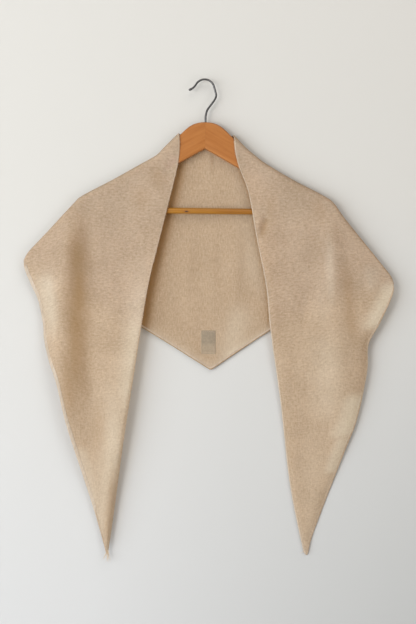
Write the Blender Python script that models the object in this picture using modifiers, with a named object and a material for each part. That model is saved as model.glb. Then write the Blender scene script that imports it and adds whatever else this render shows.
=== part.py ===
"""A triangular pashmina shawl draped over a wooden hanger with a trouser bar.

Metres, +Z up, +X to the viewer's right; the front faces -Y. The origin is the inside of the
hook's crown, the point that everything hangs from. Sizes below are in millimetres.

The cloth is one triangle. It is folded over the hanger's two arms, so that its long edge runs
from one tip up to the neck, behind the hanger and down to the other tip. Each stretch of cloth
is a wall of its own, and the walls part at the two folds.
"""

import math
from collections import namedtuple

import bmesh
import bpy
from mathutils import Vector

MM = 0.001

# Cloth
CLOTH_THICKNESS = 1.6
ARM_STANDOFF = 8.4          # middle of the wall to the hanger's mid-plane, over the arms
CORNER_STANDOFF = 3.6       # the same at the outer corners, where the fold is pressed flatter
ARM_END_X = 212.0           # beyond this the fold hangs free and narrows towards the corner
CORNER_X = 322.0
FOLD_PARTING = 0.45         # middle of the front wall's edge to the mid-plane, along the fold
FOLD_FREE = 45.0            # the folds and creases reach their full depth this far below it
LEAST_STEP = 1.0            # between two lines of a level, where they meet at a tip

# Label
LABEL_CENTRE_X = 4.4
LABEL_CENTRE_Z = -463.5
LABEL_WIDTH = 25.0
LABEL_HEIGHT = 41.0
LABEL_THICKNESS = 0.7
LABEL_GAP = 0.3

# Hanger
HANGER_LEAN = 0.7           # degrees, right side lower
ARM_THICKNESS = 12.0
ARM_BEVEL = 3.0
GLUE_GAP = 0.3
FIT_GAP = 0.3
BAR_RADIUS = 5.2
BAR_Z = -231.2
BAR_HALF_LENGTH = 211.0
BAR_SOCKET_X = 170.0        # the sockets for the bar reach in this far from the middle
WIRE_RADIUS = 1.75
HOOK_RADIUS = 17.2          # of the wire's centre line, over the crown
HOOK_CENTRE_X = -2.3
CROWN_START = 150.0         # degrees round the crown, from +X: where the open end flares off
CROWN_END = 15.0            # and where the wire starts to sweep back to the stem
STEM_TOP_Z = -64.0          # the wire is straight and upright below this
HOOK_END_Z = -99.0          # inside the wood

# How finely the walls are divided
ARM_COLUMNS = 9             # over a hanger arm, on a front wall
FREE_COLUMNS = 7            # from the arm's end to the corner
FRONT_ROWS = 32
BACK_ROWS = 11
ROUND_STEPS = 4             # rows over a quarter turn of the fold
ROUND_REACH = 1.3 * ARM_STANDOFF

Point = namedtuple("Point", "x z")

# The folds over the arms, from the neck to the outer corner
LEFT_FOLD = [
    Point(-48.3, -93.8),
    Point(-60.5, -105.3),
    Point(-74.7, -119.5),
    Point(-88.0, -132.8),
    Point(-114.5, -147.8),
    Point(-165.0, -176.1),
    Point(-218.2, -204.0),
    Point(-235.5, -219.5),
    Point(-287.0, -275.0),
    Point(-313.5, -303.0),
    Point(-322.0, -318.0),
]
RIGHT_FOLD = [
    Point(49.2, -97.0),
    Point(70.8, -119.5),
    Point(86.4, -132.8),
    Point(105.1, -147.0),
    Point(152.0, -175.3),
    Point(206.0, -203.4),
    Point(226.0, -217.4),
    Point(246.6, -246.0),
    Point(303.8, -317.0),
    Point(326.5, -346.0),
    Point(331.5, -359.0),
]

# The long edge, from the neck down to each tip
LEFT_INNER_EDGE = [
    Point(-48.3, -93.8),
    Point(-46.4, -113.0),
    Point(-49.6, -147.0),
    Point(-61.2, -197.4),
    Point(-89.4, -300.0),
    Point(-106.2, -370.8),
    Point(-128.3, -512.4),
    Point(-147.8, -636.3),
    Point(-166.4, -777.9),
    Point(-174.2, -838.5),
]
RIGHT_INNER_EDGE = [
    Point(49.2, -97.0),
    Point(51.7, -127.0),
    Point(58.9, -155.0),
    Point(75.2, -199.0),
    Point(89.9, -280.5),
    Point(107.0, -366.0),
    Point(114.0, -440.0),
    Point(132.8, -572.6),
    Point(149.0, -714.0),
    Point(171.7, -827.5),
    Point(178.0, -841.6),
]

# The two short edges, from each outer corner down to the tip
LEFT_OUTER_EDGE = [
    Point(-322.0, -318.0),
    Point(-320.5, -332.0),
    Point(-309.5, -360.0),
    Point(-296.5, -389.0),
    Point(-288.0, -431.0),
    Point(-286.0, -456.0),
    Point(-277.0, -495.0),
    Point(-262.5, -537.0),
    Point(-247.5, -601.0),
    Point(-228.0, -665.0),
    Point(-201.5, -749.0),
    Point(-183.0, -813.0),
    Point(-176.4, -838.5),
]
RIGHT_OUTER_EDGE = [
    Point(331.5, -359.0),
    Point(329.5, -379.0),
    Point(306.2, -431.0),
    Point(287.0, -468.0),
    Point(285.0, -516.0),
    Point(267.3, -600.9),
    Point(245.0, -660.0),
    Point(202.5, -770.8),
    Point(187.0, -813.0),
    Point(180.2, -841.6),
]

# The back stretch: the long edge behind the neck, and the two short edges to the middle corner
NECK_EDGE = [
    Point(-48.3, -93.8),
    Point(-36.0, -97.0),
    Point(0.0, -102.0),
    Point(36.0, -99.6),
    Point(49.2, -97.0),
]
BACK_LEFT_EDGE = [
    Point(-322.0, -323.5),
    Point(-200.0, -388.0),
    Point(-94.9, -448.5),
    Point(8.3, -512.9),
]
BACK_RIGHT_EDGE = [
    Point(8.3, -512.9),
    Point(112.9, -443.0),
    Point(180.0, -405.0),
    Point(260.0, -379.0),
    Point(331.5, -366.0),
]

# Columns of the back wall between its landmarks, left to right
Span = namedtuple("Span", "from_x to_x columns")
BACK_SPANS = [
    Span(-322.0, -212.0, 8),
    Span(-212.0, -48.3, 8),
    Span(-48.3, -38.3, 4),
    Span(-38.3, 8.3, 4),
    Span(8.3, 39.2, 3),
    Span(39.2, 49.2, 4),
    Span(49.2, 205.0, 8),
    Span(205.0, 331.5, 9),
]

# How far each front wall stands out, level by level, beyond its stand-off at the hanger. A level
# has the depth at both edges and at four lines between them, from left to right, and soft is how
# roundly the cloth bends along those lines. Below the last level the depth stays the same.
LeftLevel = namedtuple(
    "LeftLevel", "z outer ridge_x ridge valley_x valley rise_x rise roll_x roll inner soft"
)
RightLevel = namedtuple(
    "RightLevel", "z inner trough_x trough rise_x rise crest_x crest foot_x foot outer soft"
)
LEFT_LEVELS = [
    LeftLevel(-238, 0.0, -241, 6.5, -214, -0.4, -165, -0.5, -110, -0.5, 0.0, 6),
    LeftLevel(-256, 0.0, -242, 8.5, -210, -1.8, -165, -1.0, -115, -1.0, 0.5, 6),
    LeftLevel(-282, 0.0, -243, 10.5, -206, -4.5, -165, -1.5, -122, -2.0, 1.0, 7),
    LeftLevel(-326, 0.0, -247, 12.5, -202, -5.0, -172, -1.5, -140, -3.0, 3.0, 8),
    LeftLevel(-380, -2.5, -256, 14.5, -202, -3.5, -175, 0.0, -143, -1.5, 4.5, 8),
    LeftLevel(-433, -2.0, -262, 14.5, -204, -2.0, -172, 2.0, -146, 2.0, 6.5, 9),
    LeftLevel(-486, 4.5, -266, 13.0, -203, -1.0, -172, 3.5, -144, 6.5, 7.5, 9),
    LeftLevel(-539, 11.0, -256, 11.0, -200, -1.0, -174, 4.5, -148, 9.0, 8.0, 9),
    LeftLevel(-592, 9.5, -242, 8.5, -200, 0.0, -180, 4.5, -155, 9.5, 8.0, 8),
    LeftLevel(-645, 6.5, -224, 4.5, -203, 1.0, -188, 4.5, -162, 9.5, 7.0, 7),
    LeftLevel(-698, 0.0, -213, 1.5, -205, 1.5, -194, 4.0, -167, 9.0, 3.0, 5),
    LeftLevel(-751, -3.0, -197, -1.0, -193, 0.5, -187, 2.5, -172, 7.5, 0.0, 4),
    LeftLevel(-804, -2.5, -184, -1.0, -182, 0.5, -180, 1.5, -177, 3.5, -1.5, 3),
    LeftLevel(-840, 0.0, -176, 0.0, -175.5, 0.0, -175, 0.0, -174.5, 0.0, 0.0, 3),
]
RIGHT_LEVELS = [
    RightLevel(-238, 0.0, 122, 0.5, 189, 0.0, 221, 3.5, 238, 1.0, 0.0, 6),
    RightLevel(-282, 0.0, 131, 0.0, 187, -0.5, 224, 6.0, 250, 1.0, 2.0, 7),
    RightLevel(-326, -0.5, 110, 0.5, 186, -0.5, 226, 7.5, 257, 1.0, 6.0, 8),
    RightLevel(-380, -1.0, 112, 0.5, 180, -0.5, 228, 9.0, 265, 2.0, 8.0, 9),
    RightLevel(-433, -1.0, 120, 0.5, 171, 0.0, 231, 10.5, 270, 3.5, 5.0, 10),
    RightLevel(-486, -1.0, 126, 1.0, 169, 0.5, 236, 11.0, 268, 5.0, 3.5, 11),
    RightLevel(-539, -1.0, 132, 1.0, 172, 1.0, 240, 11.0, 264, 7.5, 4.5, 12),
    RightLevel(-592, -0.5, 140, 1.0, 181, 2.0, 238, 10.0, 258, 7.0, 4.5, 12),
    RightLevel(-645, -0.5, 146, 1.0, 202, 3.0, 228, 6.5, 242, 4.5, 3.0, 10),
    RightLevel(-698, -0.5, 156, 1.0, 195, 2.5, 209, 3.5, 218, 1.5, -0.5, 8),
    RightLevel(-751, -0.5, 164, 1.0, 186, 1.0, 196, 0.0, 203, -1.5, -2.5, 6),
    RightLevel(-804, 0.0, 172, 0.5, 180.5, 0.0, 184, -1.0, 187, -1.5, -2.0, 5),
    RightLevel(-842, 0.0, 178.4, 0.0, 178.9, 0.0, 179.3, 0.0, 179.8, 0.0, 0.0, 5),
]

# Soft creases of the back wall. Each follows a line, stands out by its depth, and is as wide as
# given on each side of the line. It rises over the first share of its length and falls over the
# last share.
Crease = namedtuple("Crease", "top_x top_z end_x end_z left_width right_width depth rise fall")
BACK_CREASES = [
    Crease(-236, -236, -232, -390, 34, 30, 2.0, 0.45, 0.15),
    Crease(238, -250, 232, -400, 34, 32, 2.0, 0.45, 0.15),
    Crease(-120, -190, -96, -430, 30, 34, 1.6, 0.45, 0.35),
    Crease(112, -200, 92, -430, 32, 30, 1.6, 0.45, 0.35),
]

# How the cloth rolls back beside an inner edge, and how far a front wall hangs back lower down
Roll = namedtuple("Roll", "depth width start_z full_z")
LEFT_ROLL = Roll(5.0, 3.5, -400.0, -520.0)
RIGHT_ROLL = Roll(2.0, 5.0, -200.0, -300.0)
Hang = namedtuple("Hang", "depth start_z full_z")
LEFT_HANG = Hang(6.0, -500.0, -840.0)
RIGHT_HANG = Hang(15.0, -372.0, -700.0)

Side = namedtuple("Side", "fold inner outer levels roll hang")

# The right arm of the hanger, clockwise from the top of the glued joint, in the hanger's frame
ARM_OUTLINE = [
    Point(0.0, -74.2),
    Point(10.0, -75.0),
    Point(20.0, -77.8),
    Point(29.0, -82.8),
    Point(37.0, -89.6),
    Point(45.0, -97.6),
    Point(54.0, -106.4),
    Point(65.0, -117.4),
    Point(77.0, -129.0),
    Point(90.0, -140.8),
    Point(104.0, -151.0),
    Point(120.0, -160.2),
    Point(163.0, -182.6),
    Point(206.0, -204.6),
    Point(216.0, -211.0),
    Point(222.0, -218.4),
    Point(224.0, -228.0),
    Point(221.0, -237.4),
    Point(213.0, -242.4),
    Point(204.0, -240.6),
    Point(195.0, -231.8),
    Point(150.0, -205.0),
    Point(100.0, -176.4),
    Point(50.0, -147.8),
    Point(0.0, -121.2),
]

# The wire's open end, which curls outwards from the crown, in the hanger's frame
HOOK_FLARE_BEND = Point(-21.8, -14.6)
HOOK_FLARE_END = Point(-29.2, -16.8)

# The wire between the crown and the stem, in the hanger's frame
HOOK_SWEEP = [
    Point(16.8, -19.0),
    Point(18.3, -26.5),
    Point(16.0, -33.6),
    Point(9.4, -43.2),
    Point(2.6, -53.2),
    Point(0.0, STEM_TOP_Z),
]


def smoothstep(value):
    t = min(1.0, max(0.0, value))
    return t * t * (3.0 - 2.0 * t)


def between_rows(rows, t):
    """A row between the middle two of four rows, on a Catmull-Rom curve through all of them."""
    weights = (
        -0.5 * t + t * t - 0.5 * t ** 3,
        1.0 - 2.5 * t * t + 1.5 * t ** 3,
        0.5 * t + 2.0 * t * t - 1.5 * t ** 3,
        -0.5 * t * t + 0.5 * t ** 3,
    )
    return type(rows[0])(
        *(sum(w * value for w, value in zip(weights, column)) for column in zip(*rows))
    )


def smooth_line(rows, steps=10):
    """A smooth line through points, or rows of a table, with equal steps in each stretch."""
    kind = type(rows[0])
    first = kind(*(2 * a - b for a, b in zip(rows[0], rows[1])))
    last = kind(*(2 * a - b for a, b in zip(rows[-1], rows[-2])))
    padded = [first] + list(rows) + [last]
    line = [rows[0]]
    for i in range(len(rows) - 1):
        for step in range(1, steps + 1):
            line.append(between_rows(padded[i:i + 4], step / steps))
    return line


def lengths_along(line):
    total = [0.0]
    for a, b in zip(line, line[1:]):
        total.append(total[-1] + math.hypot(b.x - a.x, b.z - a.z))
    return total


def point_at(line, share):
    """The point at a share, from 0 to 1, of a line's length."""
    total = lengths_along(line)
    target = share * total[-1]
    for i in range(len(line) - 1):
        if total[i + 1] >= target:
            t = (target - total[i]) / (total[i + 1] - total[i])
            a, b = line[i], line[i + 1]
            return Point(a.x + t * (b.x - a.x), a.z + t * (b.z - a.z))
    return line[-1]


def height_at(line, x):
    """The height of a line that runs left to right, at one place along X."""
    for a, b in zip(line, line[1:]):
        if a.x <= x <= b.x:
            return a.z + (b.z - a.z) * (x - a.x) / (b.x - a.x)
    return line[0].z if x < line[0].x else line[-1].z


def row_at(line, z):
    """The point or row at one height of a line that runs downwards."""
    if z >= line[0].z:
        return line[0]
    for a, b in zip(line, line[1:]):
        if a.z >= z >= b.z:
            t = (a.z - z) / (a.z - b.z)
            return type(a)(*(p + t * (q - p) for p, q in zip(a, b)))
    return line[-1]


def distance_to(line, x, z):
    nearest = math.inf
    for a, b in zip(line, line[1:]):
        dx, dz = b.x - a.x, b.z - a.z
        t = ((x - a.x) * dx + (z - a.z) * dz) / (dx * dx + dz * dz)
        t = min(1.0, max(0.0, t))
        nearest = min(nearest, math.hypot(x - a.x - t * dx, z - a.z - t * dz))
    return nearest


LEFT = Side(
    smooth_line(LEFT_FOLD),
    smooth_line(LEFT_INNER_EDGE),
    smooth_line(LEFT_OUTER_EDGE),
    smooth_line(LEFT_LEVELS),
    LEFT_ROLL,
    LEFT_HANG,
)
RIGHT = Side(
    smooth_line(RIGHT_FOLD),
    smooth_line(RIGHT_INNER_EDGE),
    smooth_line(RIGHT_OUTER_EDGE),
    smooth_line(RIGHT_LEVELS),
    RIGHT_ROLL,
    RIGHT_HANG,
)
BACK_TOP_LINE = LEFT.fold[::-1] + smooth_line(NECK_EDGE)[1:-1] + RIGHT.fold
BACK_BOTTOM_LINE = smooth_line(BACK_LEFT_EDGE) + smooth_line(BACK_RIGHT_EDGE)[1:]


def standoff(x):
    """How far the cloth stands from the hanger's mid-plane: over the arms, then narrowing."""
    share = smoothstep((abs(x) - ARM_END_X) / (CORNER_X - ARM_END_X))
    return ARM_STANDOFF + share * (CORNER_STANDOFF - ARM_STANDOFF)


def over_the_fold(x, fold_distance):
    """Depth of the round fold at a distance from its crest, as a quarter circle, then flat."""
    radius = standoff(x)
    rise = 1.0 - min(1.0, fold_distance / radius)
    return max(FOLD_PARTING, radius * math.sqrt(max(0.0, 1.0 - rise * rise)))


def crease_depth(crease, x, z):
    dx, dz = crease.end_x - crease.top_x, crease.end_z - crease.top_z
    length = math.hypot(dx, dz)
    along = ((x - crease.top_x) * dx + (z - crease.top_z) * dz) / length ** 2
    if not 0.0 < along < 1.0:
        return 0.0
    aside = ((z - crease.top_z) * dx - (x - crease.top_x) * dz) / length
    width = crease.right_width if aside > 0.0 else crease.left_width
    strength = smoothstep(along / crease.rise) * smoothstep((1.0 - along) / crease.fall)
    return crease.depth * strength * math.exp(-((aside / width) ** 2))


def soft_ramp(distance, soft):
    """Nothing before a line and the distance after it, with a round bend between."""
    return 0.5 * (distance + math.hypot(distance, soft))


def level_depth(side, x, z):
    """Depth of a front wall beyond its stand-off, from its table of levels."""
    level = row_at(side.levels, z)
    edge_x = sorted((row_at(side.inner, z).x, row_at(side.fold + side.outer[1:], z).x))
    stops = [edge_x[0], *level[2:10:2], edge_x[1]]
    depths = [level[1], *level[3:10:2], level[10]]
    for i in range(1, len(stops)):
        stops[i] = max(stops[i], stops[i - 1] + LEAST_STEP)
    slopes = [
        (depths[i + 1] - depths[i]) / (stops[i + 1] - stops[i]) for i in range(len(stops) - 1)
    ]
    depth = depths[0] + slopes[0] * (x - stops[0])
    for stop, before, after in zip(stops[1:], slopes, slopes[1:]):
        depth += (after - before) * soft_ramp(x - stop, level.soft)
    return depth


def front_depth(side, x, z):
    """Y of a front wall's middle surface. The front is at -Y."""
    fold_distance = distance_to(side.fold, x, z)
    depth = over_the_fold(x, fold_distance)
    depth += smoothstep(fold_distance / FOLD_FREE) * level_depth(side, x, z)
    edge_share = distance_to(side.inner, x, z) / side.roll.width
    rolled = smoothstep((z - side.roll.start_z) / (side.roll.full_z - side.roll.start_z))
    depth -= side.roll.depth * rolled * math.exp(-edge_share ** 2)
    hanging = smoothstep((z - side.hang.start_z) / (side.hang.full_z - side.hang.start_z))
    return side.hang.depth * hanging - depth


def back_depth(x, z):
    """Y of the back wall's middle surface."""
    fold_distance = min(distance_to(LEFT.fold, x, z), distance_to(RIGHT.fold, x, z))
    depth = over_the_fold(x, fold_distance)
    freed = smoothstep(fold_distance / FOLD_FREE)
    return depth + freed * sum(crease_depth(crease, x, z) for crease in BACK_CREASES)


def material(name, color, roughness, metallic=0.0):
    made = bpy.data.materials.new(name)
    made.use_nodes = True
    shader = made.node_tree.nodes["Principled BSDF"]
    shader.inputs["Base Color"].default_value = (*color, 1.0)
    shader.inputs["Roughness"].default_value = roughness
    shader.inputs["Metallic"].default_value = metallic
    return made


def add_object(name, data, collection, surface_material=None):
    made = bpy.data.objects.new(name, data)
    collection.objects.link(made)
    if surface_material is not None:
        data.materials.append(surface_material)
    return made


def wall_from_grid(name, columns, rows, place, thickness, collection, surface_material):
    """A wall of cloth: a grid whose points are placed by a function, then given its thickness."""
    bm = bmesh.new()
    bmesh.ops.create_grid(bm, x_segments=columns, y_segments=rows, size=0.5)
    for vert in bm.verts:
        column = round((vert.co.x + 0.5) * columns)
        row = round((vert.co.y + 0.5) * rows)
        vert.co = place(column, row) * MM
    mesh = bpy.data.meshes.new(name)
    bm.to_mesh(mesh)
    bm.free()
    mesh.shade_smooth()
    made = add_object(name, mesh, collection, surface_material)
    wall = made.modifiers.new("wall", "SOLIDIFY")
    wall.thickness = thickness * MM
    wall.offset = 0.0
    wall.use_even_offset = True
    wall.use_quality_normals = True
    return made


def rows_below_fold(rows, length):
    """Distances from the fold: close rows over its round, then rows that spread out evenly."""
    turn = [
        ROUND_REACH * (1.0 - math.cos(math.pi / 2 * step / ROUND_STEPS))
        for step in range(ROUND_STEPS + 1)
    ]
    left_over = rows - ROUND_STEPS
    rest = [
        turn[-1] + (length - turn[-1]) * (step / left_over) ** 1.15
        for step in range(1, left_over + 1)
    ]
    return [distance / length for distance in turn + rest]


def fold_shares(fold_line):
    """Where the columns start along a fold: evenly over the arm, then evenly to the corner."""
    total = lengths_along(fold_line)
    arm_end = next(i for i, point in enumerate(fold_line) if abs(point.x) >= ARM_END_X)
    arm_share = total[arm_end] / total[-1]
    shares = [arm_share * step / ARM_COLUMNS for step in range(ARM_COLUMNS)]
    shares += [
        arm_share + (1.0 - arm_share) * step / FREE_COLUMNS for step in range(FREE_COLUMNS + 1)
    ]
    return shares


def front_wall(name, side, collection, cloth):
    """A front stretch, stretched between its fold, its two edges and its narrow tip."""
    neck, corner = side.fold[0], side.fold[-1]
    tip_in, tip_out = side.inner[-1], side.outer[-1]
    columns = fold_shares(side.fold)
    rows = rows_below_fold(FRONT_ROWS, lengths_along(side.inner)[-1])

    def place(column, row):
        u = columns[column]
        v = rows[row]
        top = point_at(side.fold, u)
        inner = point_at(side.inner, v)
        outer = point_at(side.outer, v)
        x = (1 - v) * top.x + v * ((1 - u) * tip_in.x + u * tip_out.x)
        x += (1 - u) * (inner.x - (1 - v) * neck.x - v * tip_in.x)
        x += u * (outer.x - (1 - v) * corner.x - v * tip_out.x)
        z = (1 - v) * top.z + v * ((1 - u) * tip_in.z + u * tip_out.z)
        z += (1 - u) * (inner.z - (1 - v) * neck.z - v * tip_in.z)
        z += u * (outer.z - (1 - v) * corner.z - v * tip_out.z)
        return Vector((x, front_depth(side, x, z), z))

    return wall_from_grid(
        name, len(columns) - 1, FRONT_ROWS, place, CLOTH_THICKNESS, collection, cloth
    )


def back_wall(collection, cloth):
    """The back stretch, in columns that hang from the two folds and the neck edge."""
    places_x = [BACK_SPANS[0].from_x]
    for span in BACK_SPANS:
        for step in range(1, span.columns + 1):
            places_x.append(span.from_x + (span.to_x - span.from_x) * step / span.columns)

    def place(column, row):
        x = places_x[column]
        top = height_at(BACK_TOP_LINE, x)
        height = top - height_at(BACK_BOTTOM_LINE, x)
        if height > 4 * ROUND_REACH:
            z = top - height * rows_below_fold(BACK_ROWS, height)[row]
        else:
            z = top - height * row / BACK_ROWS
        return Vector((x, back_depth(x, z), z))

    return wall_from_grid(
        "shawl_back", len(places_x) - 1, BACK_ROWS, place, CLOTH_THICKNESS, collection, cloth
    )


def label(collection, woven):
    """A bare woven label on the back wall's front face, made from that wall's own points."""
    columns, rows = 5, 8
    lift = CLOTH_THICKNESS / 2 + LABEL_GAP + LABEL_THICKNESS / 2

    def place(column, row):
        x = LABEL_CENTRE_X + LABEL_WIDTH * (column / columns - 0.5)
        z = LABEL_CENTRE_Z + LABEL_HEIGHT * (0.5 - row / rows)
        return Vector((x, back_depth(x, z) - lift, z))

    return wall_from_grid("label", columns, rows, place, LABEL_THICKNESS, collection, woven)


def cylinder_cutter(name, radius, start, end, collection):
    """A round cutter between two points; it takes no part in the model."""
    axis = Vector(end) - Vector(start)
    bm = bmesh.new()
    bmesh.ops.create_cone(
        bm,
        cap_ends=True,
        segments=24,
        radius1=radius * MM,
        radius2=radius * MM,
        depth=axis.length * MM,
    )
    mesh = bpy.data.meshes.new(name)
    bm.to_mesh(mesh)
    bm.free()
    made = add_object(name, mesh, collection)
    made.location = (Vector(start) + Vector(end)) / 2 * MM
    made.rotation_mode = "QUATERNION"
    made.rotation_quaternion = axis.to_track_quat("Z", "Y")
    made.hide_render = True
    made.display_type = "WIRE"
    return made


def hanger_arm(name, side, collection, wood):
    """One wooden half: the outline as a plate, rounded all round but on the glued face."""
    curve = bpy.data.curves.new(name, "CURVE")
    curve.dimensions = "2D"
    curve.fill_mode = "BOTH"
    curve.extrude = ARM_THICKNESS / 2 * MM
    spline = curve.splines.new("POLY")
    spline.points.add(len(ARM_OUTLINE) - 1)
    spline.use_cyclic_u = True
    for spline_place, corner in zip(spline.points, ARM_OUTLINE):
        x = side * max(corner.x, GLUE_GAP / 2)
        spline_place.co = (x * MM, corner.z * MM, 0.0, 1.0)
    drawn = add_object(name + "_outline", curve, collection)
    drawn.rotation_euler.x = math.pi / 2
    bpy.context.view_layer.update()
    evaluated = drawn.evaluated_get(bpy.context.evaluated_depsgraph_get())
    mesh = bpy.data.meshes.new_from_object(evaluated)
    mesh.transform(drawn.matrix_world)
    bpy.data.objects.remove(drawn)

    bm = bmesh.new()
    bm.from_mesh(mesh)
    bmesh.ops.remove_doubles(bm, verts=bm.verts, dist=0.00002)
    bmesh.ops.dissolve_limit(
        bm, angle_limit=0.001, verts=bm.verts, edges=bm.edges, delimit={"NORMAL"}
    )
    bmesh.ops.recalc_face_normals(bm, faces=bm.faces)
    glued = 2 * GLUE_GAP * MM
    rounded = [
        edge
        for edge in bm.edges
        if edge.calc_face_angle(0.0) > math.radians(80)
        and max(abs(v.co.x) for v in edge.verts) > glued
        and abs(edge.verts[0].co.y - edge.verts[1].co.y) < 1e-6
    ]
    bmesh.ops.bevel(
        bm, geom=rounded, offset=ARM_BEVEL * MM, segments=3, profile=0.5, affect="EDGES"
    )
    bm.to_mesh(mesh)
    bm.free()
    mesh.name = name
    mesh.shade_smooth()
    mesh.set_sharp_from_angle(angle=math.radians(40))
    mesh.materials.clear()
    return add_object(name, mesh, collection, wood)


def cut(target, cutter):
    boolean = target.modifiers.new("cut for " + cutter.name, "BOOLEAN")
    boolean.operation = "DIFFERENCE"
    boolean.object = cutter


def hook_route():
    """The wire's centre line: flared end, round crown, sweep back to the stem, stem."""
    inner_radius = HOOK_RADIUS - WIRE_RADIUS
    centre_z = -math.sqrt(inner_radius ** 2 - HOOK_CENTRE_X ** 2)

    def on_crown(degrees):
        angle = math.radians(degrees)
        return Point(
            HOOK_CENTRE_X + HOOK_RADIUS * math.cos(angle),
            centre_z + HOOK_RADIUS * math.sin(angle),
        )

    places = on_crown(CROWN_START), HOOK_FLARE_BEND, HOOK_FLARE_END
    route = []
    flare_steps = 7
    for step in range(flare_steps):
        t = 1.0 - step / flare_steps
        weights = (1 - t) ** 2, 2 * t * (1 - t), t * t
        route.append(
            Point(
                sum(w * p.x for w, p in zip(weights, places)),
                sum(w * p.z for w, p in zip(weights, places)),
            )
        )
    crown_steps = 15
    turn = (CROWN_END - CROWN_START) / crown_steps
    crown = [on_crown(CROWN_START + turn * step) for step in range(crown_steps + 1)]
    sweep = smooth_line([on_crown(CROWN_END)] + HOOK_SWEEP, steps=4)
    return route + crown + sweep[1:] + [Point(0.0, HOOK_END_Z)]


def hanger_hook(collection, steel):
    """The bent wire, with a small blunt bead at its open end."""
    bead = {0: 0.75, 1: 1.3, 2: 1.15}   # the wire's radius at its first points, as shares
    route = hook_route()
    tip = Point(route[0].x - 0.7 * WIRE_RADIUS, route[0].z)
    route = [tip] + route
    curve = bpy.data.curves.new("hanger_hook", "CURVE")
    curve.dimensions = "3D"
    curve.bevel_depth = WIRE_RADIUS * MM
    curve.bevel_resolution = 3
    curve.use_fill_caps = True
    spline = curve.splines.new("POLY")
    spline.points.add(len(route) - 1)
    for index, (spline_place, place) in enumerate(zip(spline.points, route)):
        spline_place.co = (place.x * MM, 0.0, place.z * MM, 1.0)
        spline_place.radius = bead.get(index, 1.0)
    return add_object("hanger_hook", curve, collection, steel)


def hanger_bar(collection, wood):
    bm = bmesh.new()
    bmesh.ops.create_cone(
        bm,
        cap_ends=True,
        segments=24,
        radius1=BAR_RADIUS * MM,
        radius2=BAR_RADIUS * MM,
        depth=2 * BAR_HALF_LENGTH * MM,
    )
    mesh = bpy.data.meshes.new("hanger_bar")
    bm.to_mesh(mesh)
    bm.free()
    mesh.shade_smooth()
    mesh.set_sharp_from_angle(angle=math.radians(40))
    made = add_object("hanger_bar", mesh, collection, wood)
    made.rotation_euler.y = math.pi / 2
    made.location.z = BAR_Z * MM
    return made


def hanger(collection, cutters):
    """The hanger's pieces, parented to an empty that leans them."""
    arm_wood = material("hanger_wood", (0.50, 0.21, 0.06), 0.45)
    bar_wood = material("bar_wood", (0.47, 0.24, 0.07), 0.45)
    steel = material("hook_steel", (0.12, 0.12, 0.12), 0.35, metallic=1.0)
    stem_cutter = cylinder_cutter(
        "stem_cutter",
        WIRE_RADIUS + FIT_GAP,
        (0.0, 0.0, STEM_TOP_Z),
        (0.0, 0.0, HOOK_END_Z - FIT_GAP),
        cutters,
    )
    pieces = [hanger_hook(collection, steel), hanger_bar(collection, bar_wood), stem_cutter]
    for name, side in (("hanger_arm_left", -1), ("hanger_arm_right", 1)):
        arm = hanger_arm(name, side, collection, arm_wood)
        bar_cutter = cylinder_cutter(
            "bar_cutter_" + name,
            BAR_RADIUS + FIT_GAP,
            (side * BAR_SOCKET_X, 0.0, BAR_Z),
            (side * (BAR_HALF_LENGTH + FIT_GAP), 0.0, BAR_Z),
            cutters,
        )
        cut(arm, bar_cutter)
        cut(arm, stem_cutter)
        pieces += [arm, bar_cutter]
    lean = bpy.data.objects.new("hanger_lean", None)
    collection.objects.link(lean)
    lean.rotation_euler.y = math.radians(HANGER_LEAN)
    for piece in pieces:
        piece.parent = lean


def shawl(collection):
    cloth = material("pashmina", (0.55, 0.40, 0.27), 0.9)
    woven = material("label_weave", (0.37, 0.31, 0.24), 0.8)
    front_wall("shawl_left_front", LEFT, collection, cloth)
    front_wall("shawl_right_front", RIGHT, collection, cloth)
    back_wall(collection, cloth)
    label(collection, woven)


def clear_scene():
    for old in list(bpy.data.objects):
        bpy.data.objects.remove(old)


def main():
    clear_scene()
    model = bpy.data.collections.new("pashmina_shawl")
    cutters = bpy.data.collections.new("cutters")
    bpy.context.scene.collection.children.link(model)
    bpy.context.scene.collection.children.link(cutters)
    shawl(model)
    hanger(model, cutters)


main()
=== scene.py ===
"""Looks of a triangular pashmina shawl that hangs over a wooden hanger with a trouser bar.

Lengths are in millimetres until points are placed, and metres from there on. +Z is up, the front
faces -Y, and the origin is the inside of the hook's crown. The cloth is one continuous sheet: two
front ends and a back stretch that meet at the folds over the hanger's arms.
"""

import math
import random
from collections import namedtuple

import bmesh
import bpy
import numpy as np
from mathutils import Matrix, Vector

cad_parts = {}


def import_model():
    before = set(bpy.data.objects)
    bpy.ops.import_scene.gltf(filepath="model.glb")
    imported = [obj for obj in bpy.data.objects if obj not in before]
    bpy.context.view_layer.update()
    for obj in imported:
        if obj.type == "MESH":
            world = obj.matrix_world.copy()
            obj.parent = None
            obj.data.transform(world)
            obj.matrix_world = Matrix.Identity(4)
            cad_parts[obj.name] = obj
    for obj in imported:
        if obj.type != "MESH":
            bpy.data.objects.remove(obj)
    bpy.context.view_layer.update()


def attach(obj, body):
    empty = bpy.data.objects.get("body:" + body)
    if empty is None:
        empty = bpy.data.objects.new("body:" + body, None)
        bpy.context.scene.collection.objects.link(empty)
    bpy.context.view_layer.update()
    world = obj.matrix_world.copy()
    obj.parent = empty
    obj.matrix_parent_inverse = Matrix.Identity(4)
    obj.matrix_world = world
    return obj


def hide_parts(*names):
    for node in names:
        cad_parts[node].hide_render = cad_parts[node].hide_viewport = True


MM = 0.001

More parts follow.
